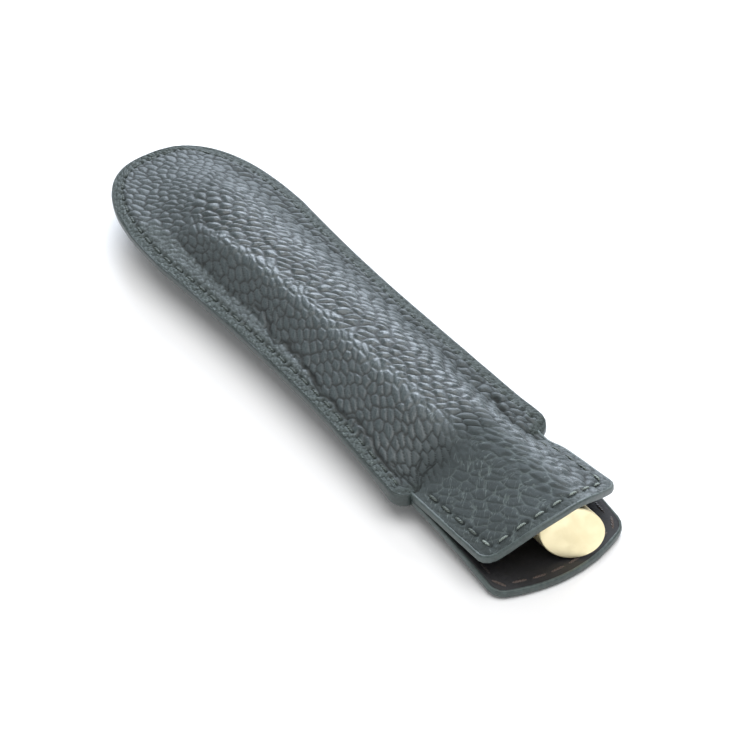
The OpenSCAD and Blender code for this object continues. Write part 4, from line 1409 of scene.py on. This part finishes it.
def build_camera():
    a, e, r = (math.radians(v) for v in (CAMERA.azimuth, CAMERA.elevation, CAMERA.roll))
    back = Vector((math.sin(a) * math.cos(e), -math.cos(a) * math.cos(e), math.sin(e)))
    right = Vector((math.cos(a), math.sin(a), 0))
    up = back.cross(right)
    turned_right = math.cos(r) * right + math.sin(r) * up
    turned_up = -math.sin(r) * right + math.cos(r) * up
    data = bpy.data.cameras.new("photo_camera")
    data.sensor_width = CAMERA.sensor_width
    data.lens = CAMERA.focal_px * data.sensor_width / CAMERA.frame_px
    data.clip_start, data.clip_end = 0.01, 20
    camera = bpy.data.objects.new("photo_camera", data)
    place = (Vector(CAMERA.look_at) + back * CAMERA.distance) * MM
    camera.matrix_world = Matrix.Translation(place) @ Matrix(
        (turned_right, turned_up, back)).transposed().to_4x4()
    bpy.context.scene.collection.objects.link(camera)
    bpy.context.scene.camera = camera


LIT_PLACE = (0, 0, 0)       # what both lights are turned towards
FLOOR_RADIUS, FLOOR_COLOUR = 2.5, (0.955, 0.957, 0.962)
WORLD_STRENGTH = 0.53


def soft_light(name, place, size, power, tint=(1, 1, 1)):
    data = bpy.data.lights.new(name, "AREA")
    data.shape = "RECTANGLE"
    data.size, data.size_y = size
    data.energy = power
    data.color = tint
    lamp = bpy.data.objects.new(name, data)
    direction = Vector(LIT_PLACE) - Vector(place)
    lamp.matrix_world = (Matrix.Translation(place)
                         @ direction.to_track_quat("-Z", "Y").to_matrix().to_4x4())
    bpy.context.scene.collection.objects.link(lamp)


def build_floor():
    bm = bmesh.new()
    bmesh.ops.create_circle(bm, cap_ends=True, segments=64, radius=FLOOR_RADIUS)
    mesh = bpy.data.meshes.new("pale_floor")
    bm.to_mesh(mesh)
    bm.free()
    n = Nodes("pale_floor")
    n.shade(Base_Color=rgba(FLOOR_COLOUR), Roughness=0.9)
    n.shader.inputs["Specular IOR Level"].default_value = 0.1
    mesh.materials.append(n.material)
    floor = bpy.data.objects.new("pale_floor", mesh)
    bpy.context.scene.collection.objects.link(floor)


# ---------------------------------------------------------------- operators

class SLEEVE_OT_stage(bpy.types.Operator):
    """Make the floor, the soft light and the camera"""
    bl_idname = "sleeve.stage"
    bl_label = "Stage"

    def execute(self, context):
        build_camera()
        build_floor()
        soft_light("back_softbox", place=(-0.59, 0.56, 0.46), size=(0.75, 0.42), power=9.4,
                   tint=(0.84, 0.93, 1.06))
        soft_light("top_softbox", place=(0.16, 0.0, 0.92), size=(0.85, 0.85), power=6.3)
        world = bpy.data.worlds.new("studio")
        world.use_nodes = True
        background = world.node_tree.nodes["Background"]
        background.inputs["Color"].default_value = (1, 1, 1, 1)
        background.inputs["Strength"].default_value = WORLD_STRENGTH
        context.scene.world = world
        context.scene.view_settings.view_transform = "Standard"
        return {"FINISHED"}


class SLEEVE_OT_leather(bpy.types.Operator):
    """Make the two pebbled leather panels"""
    bl_idname = "sleeve.leather"
    bl_label = "Leather panels"

    def execute(self, context):
        for front in (True, False):
            build_leather(shape(), stitch_shape(), context.scene.finish_colours, front)
        return {"FINISHED"}


class SLEEVE_OT_linings(bpy.types.Operator):
    """Make the two smooth linings"""
    bl_idname = "sleeve.linings"
    bl_label = "Linings"

    def execute(self, context):
        for front in (True, False):
            build_lining(shape(), context.scene.finish_colours, front)
        return {"FINISHED"}


class SLEEVE_OT_edge_paint(bpy.types.Operator):
    """Make the rounded paint on the cut edges"""
    bl_idname = "sleeve.edge_paint"
    bl_label = "Edge paint"

    def execute(self, context):
        build_edge_paint(shape(), context.scene.finish_colours)
        return {"FINISHED"}


class SLEEVE_OT_stitches(bpy.types.Operator):
    """Make the stitches of the seams and flaps"""
    bl_idname = "sleeve.stitches"
    bl_label = "Stitches"

    def execute(self, context):
        build_stitches(shape(), stitch_shape(), context.scene.finish_colours)
        return {"FINISHED"}


class SLEEVE_OT_pen(bpy.types.Operator):
    """Make the capped pen with its refill"""
    bl_idname = "sleeve.pen"
    bl_label = "Pen"

    def execute(self, context):
        colours = context.scene.finish_colours
        build_cap(shape(), colours)
        build_barrel(shape(), colours)
        build_writing_unit(shape(), colours)
        return {"FINISHED"}


OPERATORS = (SLEEVE_OT_stage, SLEEVE_OT_leather, SLEEVE_OT_linings, SLEEVE_OT_edge_paint,
             SLEEVE_OT_stitches, SLEEVE_OT_pen)


class SLEEVE_PT_panel(bpy.types.Panel):
    """Lists the pieces of the sleeve and its settings"""
    bl_idname = "SLEEVE_PT_panel"
    bl_label = "Pen Sleeve"
    bl_space_type = "VIEW_3D"
    bl_region_type = "UI"
    bl_category = "Sleeve"

    def draw(self, context):
        for operator in OPERATORS:
            self.layout.operator(operator.bl_idname)
        for name in GROUPS:
            group, box = getattr(context.scene, name), self.layout.box()
            for prop in settings_of(group):
                box.prop(group, prop.identifier)


GROUPS = {"sleeve_sizes": SleeveSizes, "stitch_sizes": StitchSizes, "pen_sizes": PenSizes,
          "finish_colours": FinishColours}


def register():
    for item in (*GROUPS.values(), *OPERATORS, SLEEVE_PT_panel):
        bpy.utils.register_class(item)
    for name, group in GROUPS.items():
        setattr(bpy.types.Scene, name, PointerProperty(type=group))


def unregister():
    for name in GROUPS:
        delattr(bpy.types.Scene, name)
    for item in reversed((*GROUPS.values(), *OPERATORS, SLEEVE_PT_panel)):
        bpy.utils.unregister_class(item)


def main():
    register()
    for operator in OPERATORS:
        group, name = operator.bl_idname.split(".")
        getattr(getattr(bpy.ops, group), name)()


if __name__ == "__main__":
    main()
